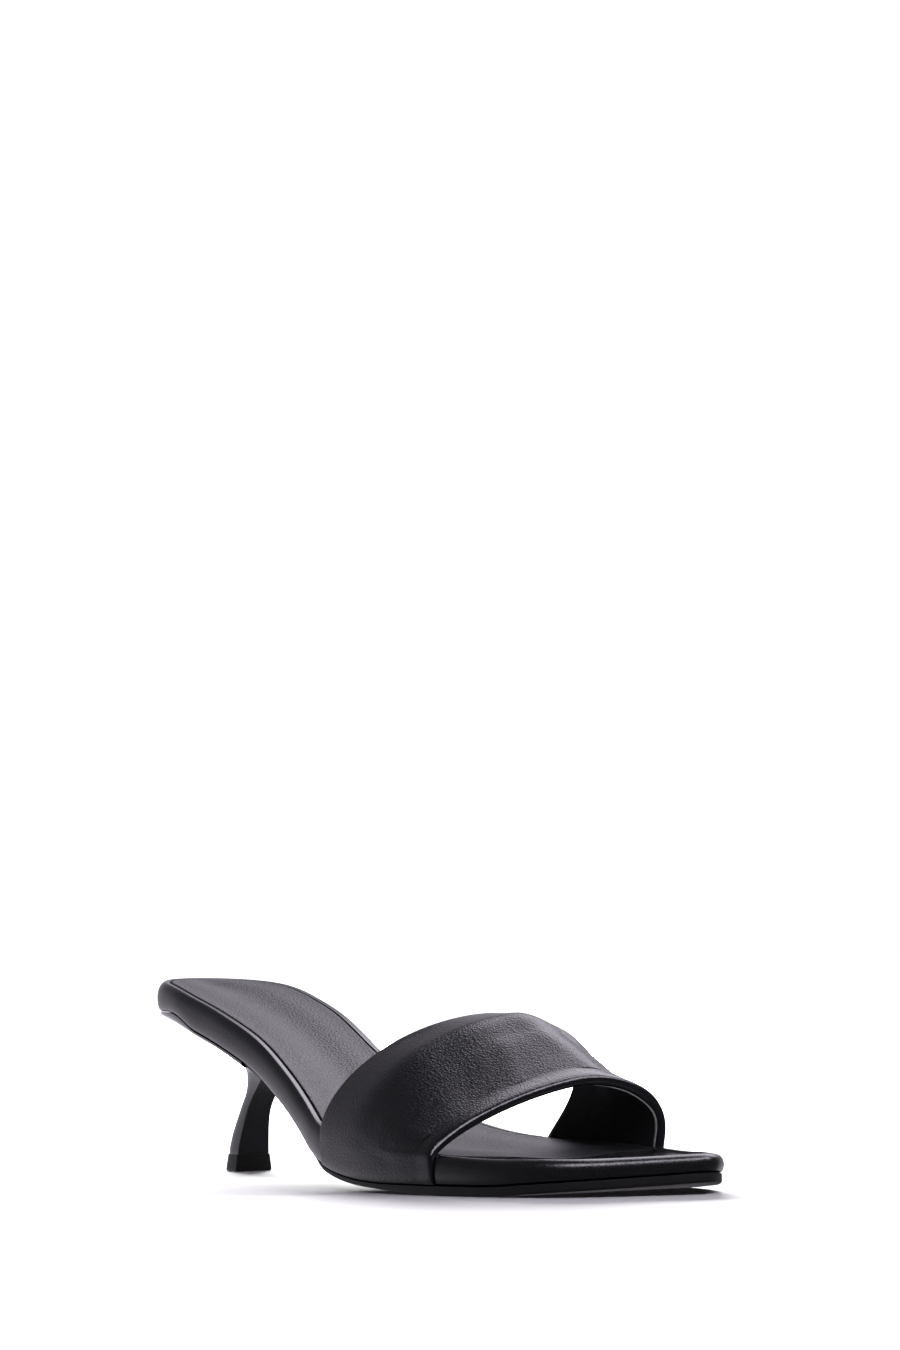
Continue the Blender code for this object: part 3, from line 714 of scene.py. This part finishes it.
def sock_grid():
    """Rows of closed loops: the underside, a quarter circle at each edge, and the top, which adds
    a low double swell to the dish."""
    front = SOCK_FRONT_ROW - FIT_GAP / SHOE_LENGTH * TOE_ROW
    rows = np.concatenate([np.arange(0, front - ROW_STEP / 2, ROW_STEP), [front]])
    outer = RAND_WIDTH + RAND_GROOVE + FIT_GAP
    turn = quarter_turns(6)
    insets = outer + SOCK_EDGE_RADIUS * np.concatenate([[0.0], 1 - np.cos(turn)])
    drops = np.concatenate([[-SOCK_THICKNESS], SOCK_EDGE_RADIUS * (np.sin(turn) - 1)])

    def rim(sign):
        """The edge on one side, from the underside up and over."""
        plan = edge(rows, sign, np.broadcast_to(insets, (len(rows), len(insets))))
        return lift(plan, tread_height(plan[..., 0], 1.0) + drops)

    top = across(rows, insets[-1], SOCK_PLACES)
    swell = SOCK_SWELL * np.sin(np.pi * SOCK_PLACES) ** 2 * dish_share(top[..., 0])
    top = lift(top, tread_height(top[..., 0], SOCK_PLACES) + swell)
    under = across(rows, outer, UNDER_PLACES[::-1])
    under = lift(under, tread_height(under[..., 0], UNDER_PLACES[::-1]) - SOCK_THICKNESS)
    return np.concatenate([rim(-1), top, rim(1)[:, ::-1], under], axis=1)


sock = make_piece("sock", sock_grid(), "insole", SOCK_LEATHER)

# %% [markdown]
# ## The band
#
# The band is cut from one skin, folded round a cord at the front edge and lined. Across the foot
# its section is two superellipse quarters that meet at the crown. The quarter's power sets how
# square the shoulder is. Going forward the crown drops and leans, from one section to the next.

# %% The band's outer face
INSTEP_HEIGHT = 48.0 * MM
MEDIAL_BULGE = 8.3 * MM
MEDIAL_SCOOP = 11.6 * MM
BAND_TUCK_END = 0.43
BAND_SPRING = 0.95
DOME_STEPS = 96

SECTION_SCALES = (SHOE_LENGTH, BALL_WIDTH, INSTEP_HEIGHT, MEDIAL_BULGE, 1, 1)
# place from rear to front, crown x (SHOE_LENGTH), crown y (BALL_WIDTH), crown height
# (INSTEP_HEIGHT), bulge (MEDIAL_BULGE), lateral squareness, medial squareness
BAND_SECTIONS = np.array([
    (0.00, 0.6205, 0.121, 0.996, 1.00, 1.75, 2.15),
    (0.25, 0.6740, 0.136, 0.995, 0.44, 1.75, 1.94),
    (0.50, 0.7150, 0.144, 0.895, 0.12, 1.62, 1.82),
    (0.75, 0.7535, 0.163, 0.752, 0.08, 1.47, 1.89),
    (1.00, 0.7890, 0.191, 0.607, 0.36, 1.38, 2.45),
])


def band_surface(places):
    """Columns x places x 3. A column climbs the rand, crosses the foot and goes down again. On a
    quarter, out is the cosine and up the sine, each to the power of 2 over the squareness."""
    rows = BAND_REAR_ROW + (BAND_FRONT_ROW - BAND_REAR_ROW) * places
    crown_x, crown_y, crown_z, bulge, lateral, medial = (
        scale * smooth_curve(BAND_SECTIONS[:, 0], column, places)
        for scale, column in zip(SECTION_SCALES, BAND_SECTIONS.T[1:])
    )
    tucks, shares = rand_curve()
    below = shares < BAND_TUCK_END
    straight = np.linspace(BAND_TUCK_END, BAND_SPRING, 8)
    tucks = np.concatenate([tucks[below], np.zeros(len(straight))])
    shares = np.concatenate([shares[below], straight])
    angle = quarter_turns(DOME_STEPS // 2 + 1)[1:, None]

    def half(side, squareness):
        """One side's columns, from its foot up to the crown."""
        plan = edge(rows, side, tucks * RAND_WIDTH - UPPER_PROUD).transpose(1, 0, 2)
        x = plan[..., 0]
        foot = lift(plan, footbed_bottom(x) + shares[:, None] * footbed_depth(x))
        spring = foot[-1]
        out, up = np.cos(angle) ** (2 / squareness), np.sin(angle) ** (2 / squareness)
        hump = np.sin(2 * angle) * np.cos(angle) * (side > 0)
        dome = np.stack([
            crown_x + (spring[:, 0] - crown_x) * out + MEDIAL_SCOOP * (1 - places) * hump,
            crown_y + (spring[:, 1] - crown_y) * out + bulge * hump,
            spring[:, 2] + (crown_z - spring[:, 2]) * up,
        ], axis=-1)
        return np.concatenate([foot, dome])

    return np.concatenate([half(-1, lateral), half(1, medial)[-2::-1]])


print("columns in the band:", len(band_surface(np.array([0.0, 1.0]))))

# %% [markdown]
# The band's wall is a closed profile in three numbers: the place on the outer face, the depth
# under it and the reach forward of the edge. Carrying it round all the columns gives the wall
# with its rolled front edge and folded rear edge. The creases are then laid on: each is a soft
# ridge or trough along a short line on the skin, and a table gives its ends, width and height.

# %% The band's wall and roll
BEAD_RADIUS = 1.5 * MM
BAND_SKIN = 1.5 * MM
VALLEY_LENGTH = 7.0 * MM
BEAD_TURN = (0.52, -0.62)
BEAD_RETURN = 2.6
BEAD_FADE_COLUMNS = 40
BEAD_FOOT = 0.15
BAND_LENGTH = 46.8 * MM
FACE_START = 0.02
FACE_END = 0.86
CREASE_START = 0.06

# place and millimetres from the crown (minus on the little-toe side) of both ends, then half
# width and height in millimetres: plus for a ridge, minus for a trough
CREASES = (
    (0.30, -2.0, 0.92, 7.0, 4.5, 0.40),
    (0.30, 9.0, 0.85, 15.0, 3.5, -0.35),
    (0.10, -24.0, 0.80, -33.0, 7.0, -0.35),
    (0.50, -57.0, 0.92, -52.5, 2.6, 0.30),
    (0.60, -62.0, 0.97, -56.0, 1.3, -0.28),
    (0.15, -67.0, 0.60, -65.0, 2.2, -0.20),
    (0.55, -14.0, 0.90, -20.0, 3.0, 0.18),
    (0.40, 30.0, 0.80, 36.0, 3.5, -0.30),
)


def strip(place, depth, reach):
    """Profile points side by side, from numbers or arrays of place, depth and reach."""
    return np.stack(np.broadcast_arrays(place, depth, reach), axis=1)


def band_profile():
    """Place, depth and reach. The face rises out of a shallow valley onto the roll, goes round it
    by just over half a turn, returns along the back of the skin and folds over at the rear."""
    centre = UPPER_WALL - BEAD_RADIUS
    faces = np.linspace(FACE_START, FACE_END, 40)
    outer = strip(faces, 0, 0)
    rise = np.linspace(0, 1, 12)[:-1]
    climb = (centre - BEAD_RADIUS) * smooth_step(rise)
    reach = -BEAD_RADIUS - (VALLEY_LENGTH - BEAD_RADIUS) * (1 - rise)
    valley = strip(1, climb, reach)
    turn = np.pi * np.linspace(*BEAD_TURN, 18)
    roll = strip(1, centre - BEAD_RADIUS * np.sin(turn), BEAD_RADIUS * (np.cos(turn) - 1))
    inner = strip(faces, BAND_SKIN, 0)[::-1]
    start = strip([1.0], BAND_SKIN, -BEAD_RETURN * BEAD_RADIUS)
    fold_turn = np.pi * np.linspace(-0.5, 0.5, 9)
    half = BAND_SKIN / 2
    fold = strip(0, half * (1 - np.sin(fold_turn)), half * (1 - np.cos(fold_turn)))
    return np.concatenate([outer, valley, roll, start, inner, fold])


def crease_relief(places, arcs):
    """Sum of the creases: each is its height times a bell curve of the distance, on the flattened
    skin, from the line between its two ends. Points are places x arc lengths from the crown."""
    point = np.stack([np.broadcast_to(places, arcs.shape) * BAND_LENGTH, arcs], axis=-1)
    total = np.zeros(arcs.shape)
    for place_a, arc_a, place_b, arc_b, width, height in CREASES:
        start = np.array([place_a * BAND_LENGTH, arc_a * MM])
        line = np.array([place_b * BAND_LENGTH, arc_b * MM]) - start
        share = np.clip((point - start) @ line / (line @ line), 0, 1)
        away = np.linalg.norm(point - start - share[..., None] * line, axis=-1)
        total += height * MM * np.exp(-((away / (width * MM)) ** 2))
    return total


def offset_surface(profile, creased=False):
    """Each profile point moved under the outer face by its depth, along the face's normal, and
    forward by its reach, along the face's own direction. The roll flattens towards both feet, and
    a creased skin rises by its relief."""
    places = profile[:, 0]
    face = band_surface(places)
    step = np.linalg.norm(np.diff(face, axis=0), axis=2)
    arcs = np.concatenate([np.zeros((1, len(places))), np.cumsum(step, axis=0)])
    arcs -= arcs[len(face) // 2]
    count = np.arange(len(face))
    rise = smooth_step(np.minimum(count, count[::-1]) / BEAD_FADE_COLUMNS)
    proud = BEAD_FOOT + (1 - BEAD_FOOT) * rise
    depth = np.where(profile[:, 1] < 0, profile[:, 1] * proud[:, None], profile[:, 1])
    if creased:
        skin = np.clip(1 - profile[:, 1] / BAND_SKIN, 0, 1) * np.clip(places / CREASE_START, 0, 1)
        depth = depth - crease_relief(places, arcs) * skin
    forward = band_surface(np.minimum(places + SLOPE_STEP, 1)) - band_surface(
        np.maximum(places - SLOPE_STEP, 0)
    )
    forward /= np.linalg.norm(forward, axis=2)[..., None]
    outward = np.cross(np.gradient(face, axis=0), forward)
    outward /= np.linalg.norm(outward, axis=2)[..., None]
    if outward[len(face) // 2, 0, 2] < 0:
        outward = -outward
    outward[[0, -1], :, 2] = 0
    points = face - outward * depth[..., None] + forward * profile[:, 2, None]
    for end in (0, -1):
        points[end, :, 2] = footbed_bottom(points[end, :, 0])
    return points


profile = band_profile()
toward_edge = np.clip((profile[:, 0] - FACE_END) / (1 - FACE_END), 0, 1)
toward_roll = np.clip(1 + profile[:, 2] / VALLEY_LENGTH, 0, 1)
skin = offset_surface(profile, creased=True)
tight = toward_edge * toward_roll
make_piece("band", skin, "upper", BAND_LEATHER, tight)

# %% [markdown]
# ## The lining
#
# The lining is a thinner skin glued inside the band. Its front edge is cut just behind the roll
# and shows as a pale line when you look into the toe.

# %% Lining and its cut edge
LINING_SKIN = 0.5 * MM
LINING_STOP = 1.5 * MM
LINING_LIP = 0.4 * MM
EDGE_WIDTH = 0.45 * MM
LINING_OVERLAP = 0.02 * MM
LINING_PLACES = np.linspace(0.035, 0.97, 40)


def lining_profile(front, back, depths):
    """A flat closed loop between two reaches behind the front edge, or back to the rear fold."""
    places, reach = (LINING_PLACES, 0) if back is None else ([1.0], -back)
    top, low = (strip(places, depth, reach) for depth in depths)
    return np.concatenate([top, strip(1.0, depths, -front), low[::-1]])


inside = (BAND_SKIN - LINING_OVERLAP, BAND_SKIN + LINING_SKIN)
lip = (BAND_SKIN - LINING_OVERLAP, BAND_SKIN + LINING_SKIN + LINING_LIP)
lining_loops = offset_surface(lining_profile(LINING_STOP + EDGE_WIDTH, None, inside))
make_piece("lining", lining_loops, None, LINING_LEATHER)
edge_loops = offset_surface(lining_profile(LINING_STOP, LINING_STOP + EDGE_WIDTH, lip))
make_piece("lining_edge", edge_loops, None, CUT_EDGE)

# %% [markdown]
# ## The heel
#
# The heel is one moulded block: a shallow cup that takes the seat and a stem with a flat breast.
# Level loops of the stem are superellipses cut off by the breast. Above the neck they are drawn
# out, ever faster, into the cup's lip, which follows the plan of the seat.

# %% Heel sections
HEEL_CUP_DEPTH = 1.6 * MM
HEEL_CUP_EDGE = 0.7 * MM
HEEL_CUP_GROWTH = 1.6
HEEL_CUP_POWER = 5.0
HEEL_CUP_START = 0.03
HEEL_CUP_SPACING = 1.5
HEEL_INSET = 0.9 * MM
HEEL_CENTRE_Y = 0.0064
TIP_WIDTH = 10.8 * MM
TIP_DEPTH = 8.0 * MM
TOP_PIECE_HEIGHT = 5.0 * MM
TIP_SEAM = 0.06 * MM
CORNER_RADIUS = 0.35 * MM
BACK_STEPS = 96
BREAST_STEPS = 24
FOOT_RINGS = np.linspace(0, 0.9, 6)
SEAT_RINGS = np.linspace(0.92, 0, 12)

# the cup's side from its lip up: share of its depth, inset
CUP_SIDE = np.array([
    (1.00, 1.60 * MM),
    (0.93, 0.95 * MM),
    (0.80, 0.48 * MM),
    (0.60, 0.16 * MM),
    (0.35, 0.02 * MM),
    (0.00, 0.00 * MM),
])

# height (SEAT_HEIGHT), breast x (SHOE_LENGTH), width (TIP_WIDTH), depth (TIP_DEPTH), squareness
HEEL_LEVELS = np.array([
    (0.000, 0.1529, 1.000, 1.000, 3.4),
    (0.120, 0.1529, 1.000, 1.000, 3.4),
    (0.200, 0.1555, 0.940, 1.010, 3.2),
    (0.300, 0.1605, 0.840, 0.950, 3.0),
    (0.395, 0.1675, 0.775, 0.870, 2.8),
    (0.485, 0.1800, 0.760, 0.950, 2.6),
    (0.570, 0.1970, 0.810, 1.330, 2.6),
    (0.640, 0.2140, 0.920, 1.880, 2.6),
])


def soften(loops, radius):
    """Loops with their corners eased: each point becomes a mean of its neighbours, weighed by a
    bell curve of the distance along the loop."""
    step = np.linalg.norm(np.roll(loops, -1, axis=1) - loops, axis=2)
    along = np.concatenate([np.zeros((len(loops), 1)), np.cumsum(step, axis=1)[:, :-1]], axis=1)
    total = step.sum(axis=1)[:, None, None]
    gap = np.abs(along[:, :, None] - along[:, None, :])
    gap = np.minimum(gap, total - gap)
    weight = np.exp(-((gap / radius) ** 2)) * step[:, None, :]
    return weight @ loops / weight.sum(axis=2)[..., None]


def heel_sections(levels, proud=0.0):
    """Level loops of the stem: a superellipse arc behind, closed by the flat breast in front."""
    table = HEEL_LEVELS.T
    breast, width, depth, square = (
        smooth_curve(table[0], row, levels)[:, None] for row in table[1:]
    )
    half = TIP_WIDTH * width / 2 + proud
    angle = np.linspace(0, np.pi, BACK_STEPS + 1)
    out, back = np.cos(angle), np.sin(angle)
    x = breast * SHOE_LENGTH - (TIP_DEPTH * depth + proud) * np.abs(back) ** (2 / square)
    y = -half * np.sign(out) * np.abs(out) ** (2 / square)
    share = np.arange(1, BREAST_STEPS) / BREAST_STEPS
    x = np.concatenate([x, breast * SHOE_LENGTH + 0 * share], axis=1)
    y = np.concatenate([y, half * (1 - 2 * share)], axis=1)
    return soften(np.stack([x, y + HEEL_CENTRE_Y * BALL_WIDTH], axis=-1), CORNER_RADIUS)


def seat_section(inset):
    """The seat's plan as a loop with as many points: round the back, then straight across."""
    rows = HEEL_BREAST_ROW * (1 - np.linspace(0, 1, BACK_STEPS // 2 + 1))
    lateral = edge(rows, -1, [inset])[:, 0]
    medial = edge(rows[::-1], 1, [inset])[1:, 0]
    share = (np.arange(1, BREAST_STEPS) / BREAST_STEPS)[:, None]
    breast = medial[-1] + (lateral[0] - medial[-1]) * share
    return np.concatenate([lateral, medial, breast])


print("points round the heel:", len(seat_section(0.0)))

# %% [markdown]
# The loops are stacked into one closed surface. It runs from the middle of the stem's foot up the
# stem, out along the cup, over its rounded side and back in under the seat.

# %% Heel
def cup_ceiling(x):
    """Height of the face that the seat sits on."""
    return footbed_bottom(x) + cup_climb(x) - FIT_GAP


def cup_depth(x):
    """Depth of the cup's rim: thin at the back, growing to the breast as a power of distance, plus
    its climb up the rand."""
    breast = edge(np.array([HEEL_BREAST_ROW]), -1, [0.0])[0, 0, 0]
    growth = np.clip(x / breast, 0, 1) ** HEEL_CUP_GROWTH
    return HEEL_CUP_EDGE + (HEEL_CUP_DEPTH - HEEL_CUP_EDGE) * growth + cup_climb(x)


def closing_rings(loop, heights, shares):
    """Rings that shrink towards the loop's middle, to close it with a fan of even faces."""
    middle = loop.mean(axis=0)
    plans = middle + (loop - middle) * shares[:, None, None]
    return lift(plans, heights(plans[..., 0]))


def heel_grid():
    """Rings from the stem's foot up to the neck, out along the cup to its lip, up the cup's side
    and in across the seat. A point of the cup goes straight from neck to lip in plan, and its
    drop below the lip fades as a power of the share of the way that is left."""
    foot = (TOP_PIECE_HEIGHT + TIP_SEAM) / SEAT_HEIGHT
    neck_level = HEEL_LEVELS[-1, 0]
    levels = np.linspace(foot, neck_level, 48)
    sections = heel_sections(levels)
    heights = np.broadcast_to(levels[:, None] * SEAT_HEIGHT, sections.shape[:2])
    stem = lift(sections, heights)
    neck, lip = sections[-1], seat_section(HEEL_INSET + CUP_SIDE[0, 1])
    share = (np.linspace(HEEL_CUP_START, 1, 40) ** HEEL_CUP_SPACING)[:, None, None]
    plan = neck + (lip - neck) * share
    level = cup_ceiling(plan[..., 0]) - cup_depth(lip[:, 0])
    drop = (level - neck_level * SEAT_HEIGHT) * (1 - share[..., 0]) ** HEEL_CUP_POWER
    cup = lift(plan, level - drop)
    rim = seat_section(HEEL_INSET)
    wall_plan = np.stack([seat_section(HEEL_INSET + inset) for inset in CUP_SIDE[1:, 1]])
    wall_x = wall_plan[..., 0]
    wall = lift(wall_plan, cup_ceiling(wall_x) - CUP_SIDE[1:, :1] * cup_depth(wall_x))
    foot_height = foot * SEAT_HEIGHT
    sole = closing_rings(sections[0], lambda x: 0 * x + foot_height, FOOT_RINGS)
    seat = closing_rings(rim, cup_ceiling, SEAT_RINGS)
    return np.concatenate([sole, stem, cup, wall, seat])


make_piece("heel_block", heel_grid(), "heel", HEEL_LACQUER)

# %% [markdown]
# ## The top piece
#
# The heel stands on a small tip of hard rubber that can be replaced when it wears. It flares a
# little towards the floor and its tread edge is rounded.

# %% Top piece
TOP_PIECE_PROUD = 0.3 * MM
TOP_PIECE_FLARE = 0.6 * MM
TOP_PIECE_EDGE_RADIUS = 0.6 * MM
TOP_PIECE_EASE = 0.15 * MM
TOP_PIECE_EASE_RISE = 0.05 * MM


def top_piece_grid():
    """Rings from the tread's middle outwards, up a quarter circle, up the flare and back in."""
    turn = quarter_turns(8)
    radius = TOP_PIECE_EDGE_RADIUS
    edge_out = TOP_PIECE_PROUD + TOP_PIECE_FLARE
    rounded = [(edge_out - radius * (1 - np.sin(a)), radius * (1 - np.cos(a))) for a in turn]
    rise = np.linspace(0, 1, 12)[1:]
    flare = [
        (edge_out - TOP_PIECE_FLARE * s, radius + (TOP_PIECE_HEIGHT - radius) * s) for s in rise
    ]
    eased = [(TOP_PIECE_PROUD - TOP_PIECE_EASE, TOP_PIECE_HEIGHT + TOP_PIECE_EASE_RISE)]
    rings = [
        lift(heel_sections(np.array([0.0]), proud)[0], np.full(BACK_STEPS + BREAST_STEPS, height))
        for proud, height in rounded + flare + eased
    ]
    low, high = rings[0], rings[-1]
    tread = closing_rings(low[:, :2], lambda x: 0 * x, FOOT_RINGS)
    top = closing_rings(high[:, :2], lambda x: 0 * x + high[0, 2], FOOT_RINGS[::-1])
    return np.concatenate([tread, np.stack(rings), top])


make_piece("heel_tip", top_piece_grid(), "top_piece", TIP_RUBBER)

# %% [markdown]
# ## The floor, the light and the camera
#
# A product photograph stands the shoe on pale paper in a bright room. The paper glows ever more
# with distance, so that it has no horizon, and it stays plain near the shoe to take the shadow.

# %% Floor
FLOOR_HALF = 6.0
FLOOR_CLEAR = 0.35
FLOOR_FADE = 0.60


def make_floor():
    """A large square at the height of the soles, in plain pale paper."""
    grid = FLOOR_HALF * np.array([(-1, -1, 0), (1, -1, 0), (1, 1, 0), (-1, 1, 0)], float)
    mesh = bpy.data.meshes.new("floor")
    mesh.from_pydata(grid.tolist(), [], [(0, 1, 2, 3)])
    finish = Finish("paper", (0.90, 0.90, 0.90, 1), 0.9, **{"Emission Strength": 1.0})
    settings = {"operation": "LENGTH"}
    away = finish.node("ShaderNodeVectorMath", settings, {0: finish.place})["Value"]
    glow = away.between(FLOOR_CLEAR, FLOOR_CLEAR + FLOOR_FADE)
    finish.feed(finish.shader, {"Emission Color": finish.colours(glow, (0, 0, 0), (1, 1, 1))})
    mesh.materials.append(finish.material)
    floor = bpy.data.objects.new("floor", mesh)
    floor.visible_glossy = False
    bpy.context.scene.collection.objects.link(floor)


make_floor()
print("floor, m across:", 2 * FLOOR_HALF)

# %% [markdown]
# Black gloss shows only what it mirrors, so the room is painted on the sky by direction: a bright
# low wall behind the shoe, darkness above, and a few soft round cards, each set where one face of
# the shoe mirrors it. One panel behind the shoe throws the soft shadow towards the camera.

# %% Light
# a direction's height as its z from -1 to 1, brightness there behind the shoe
SKY = (
    (-1.00, 0.10),
    (-0.50, 0.20),
    (-0.25, 0.90),
    (-0.12, 0.60),
    (0.00, 0.42),
    (0.20, 0.32),
    (0.34, 0.20),
    (0.60, 0.08),
    (1.00, 0.00),
)
SKY_BEHIND = (-0.1, 0.5)
SKY_REST = 0.08
SKY_FILL = 0.3
SKY_TINT = (1.0, 0.95, 1.07)
# direction, cosines of the outer and inner rim, brightness
CARDS = (
    ((-0.33, 0.60, 0.73), 0.895, 0.950, 3.2),
    ((0.50, -0.34, 0.79), 0.955, 0.985, 8.0),
    ((0.66, 0.12, 0.74), 0.955, 0.985, 7.0),
    ((0.45, 0.54, 0.71), 0.955, 0.985, 6.0),
    ((-0.84, 0.54, 0.06), 0.930, 0.985, 0.35),
)
KEY_PLACE = (-1.25, 0.68, 0.50)
KEY_SIZE = (0.8, 0.4)
KEY_POWER = 120


def make_sky():
    """The camera sees even white. A mirror sees a dark room with a bright low wall behind the shoe,
    a ramp over the direction's height, and the soft round cards. Matt faces see it dimmer."""
    world = bpy.data.worlds.new("studio")
    bpy.context.scene.world = world
    world.use_nodes = True
    world.node_tree.nodes.clear()
    sky = Tree(world.node_tree)
    direction = sky.node("ShaderNodeTexCoord", {}, {})["Generated"]
    parts = sky.node("ShaderNodeSeparateXYZ", {}, {0: direction})
    ramp = sky.node("ShaderNodeValToRGB", {}, {0: parts["Z"] * 0.5 + 0.5})
    stops = ramp.made.color_ramp.elements
    for height, value in SKY[1:-1]:
        stops.new((height + 1) / 2)
    for stop, (height, value) in zip(stops, SKY):
        stop.position = (height + 1) / 2
        stop.color = (value, value, value, 1)
    behind = (parts["X"] * -1).between(*SKY_BEHIND)
    light = ramp[0] * behind + SKY_REST
    for aim, rim, heart, power in CARDS:
        values = {0: direction, 1: Vector(aim).normalized()}
        toward = sky.node("ShaderNodeVectorMath", {"operation": "DOT_PRODUCT"}, values)["Value"]
        light = light + toward.between(rim, heart) * power
    path = sky.node("ShaderNodeLightPath", {}, {})
    seen = path["Is Camera Ray"]
    strength = light * (path["Is Glossy Ray"] * (1 - SKY_FILL) + SKY_FILL) * (1 - seen) + seen
    colour = sky.colours(seen, SKY_TINT, (1, 1, 1))
    shown = sky.node("ShaderNodeBackground", {}, {"Color": colour, "Strength": strength})[0]
    sky.node("ShaderNodeOutputWorld", {}, {"Surface": shown})


def area_light(name, place, target, size, power):
    """A soft rectangular panel that faces its target. Mirrors don't see it: the sky's cards are
    what they show."""
    lamp = bpy.data.lights.new(name, "AREA")
    lamp.shape = "RECTANGLE"
    lamp.size, lamp.size_y = size
    lamp.energy = power
    panel = bpy.data.objects.new(name, lamp)
    panel.location = place
    direction = Vector(target) - Vector(place)
    panel.rotation_euler = direction.to_track_quat("-Z", "Y").to_euler()
    panel.visible_glossy = False
    panel.visible_camera = False
    bpy.context.scene.collection.objects.link(panel)


make_sky()
area_light("key", KEY_PLACE, (0, 0, 0), KEY_SIZE, KEY_POWER)

# %% [markdown]
# The camera stands low in front of the shoe's outer side. It is aimed above the shoe, so that the
# shoe lies in the lower part of a tall picture, as in the photograph.

# %% Camera
CAMERA_AZIMUTH = np.radians(57.0)
CAMERA_ELEVATION = np.radians(1.8)
CAMERA_ROLL = np.radians(0.7)
CAMERA_DISTANCE = 1.503
AIM = np.array([0.00048, -0.00382, 0.030])
AIM_PIXEL = np.array([390.0, 1075.8])
PICTURE = np.array([900, 1350])
FOCAL_PIXELS = 5292
SENSOR = 36.0


def make_camera():
    """The camera is rolled a little about the line to the point aimed at, then its axis is turned
    so that this point falls on its own pixel."""
    flat = np.cos(CAMERA_ELEVATION)
    back = np.array([
        np.sin(CAMERA_AZIMUTH) * flat,
        -np.cos(CAMERA_AZIMUTH) * flat,
        np.sin(CAMERA_ELEVATION),
    ])
    level = np.cross([0, 0, 1], back)
    level /= np.linalg.norm(level)
    upright = np.cross(back, level)
    right = np.cos(CAMERA_ROLL) * level - np.sin(CAMERA_ROLL) * upright
    up = np.cross(back, right)
    off = PICTURE / 2 - AIM_PIXEL
    behind = back * FOCAL_PIXELS - right * off[0] + up * off[1]
    behind /= np.linalg.norm(behind)
    right = np.cross(up, behind)
    right /= np.linalg.norm(right)
    axes = np.stack([right, np.cross(behind, right), behind], axis=1)
    lens = bpy.data.cameras.new("camera")
    lens.sensor_width = SENSOR
    lens.lens = SENSOR * FOCAL_PIXELS / PICTURE[1]
    camera = bpy.data.objects.new("camera", lens)
    camera.location = AIM + back * CAMERA_DISTANCE
    camera.rotation_euler = Matrix(axes.tolist()).to_euler()
    bpy.context.scene.collection.objects.link(camera)
    bpy.context.scene.camera = camera
    return camera


camera = make_camera()
bpy.context.scene.view_settings.view_transform = "Standard"
print("lens:", round(camera.data.lens, 1), "mm")

# %% [markdown]
# ## The last update
#
# The dressed shoe has to keep the imported model's size. Last, the scene is brought up to date.

# %% Finish
bpy.context.view_layer.update()
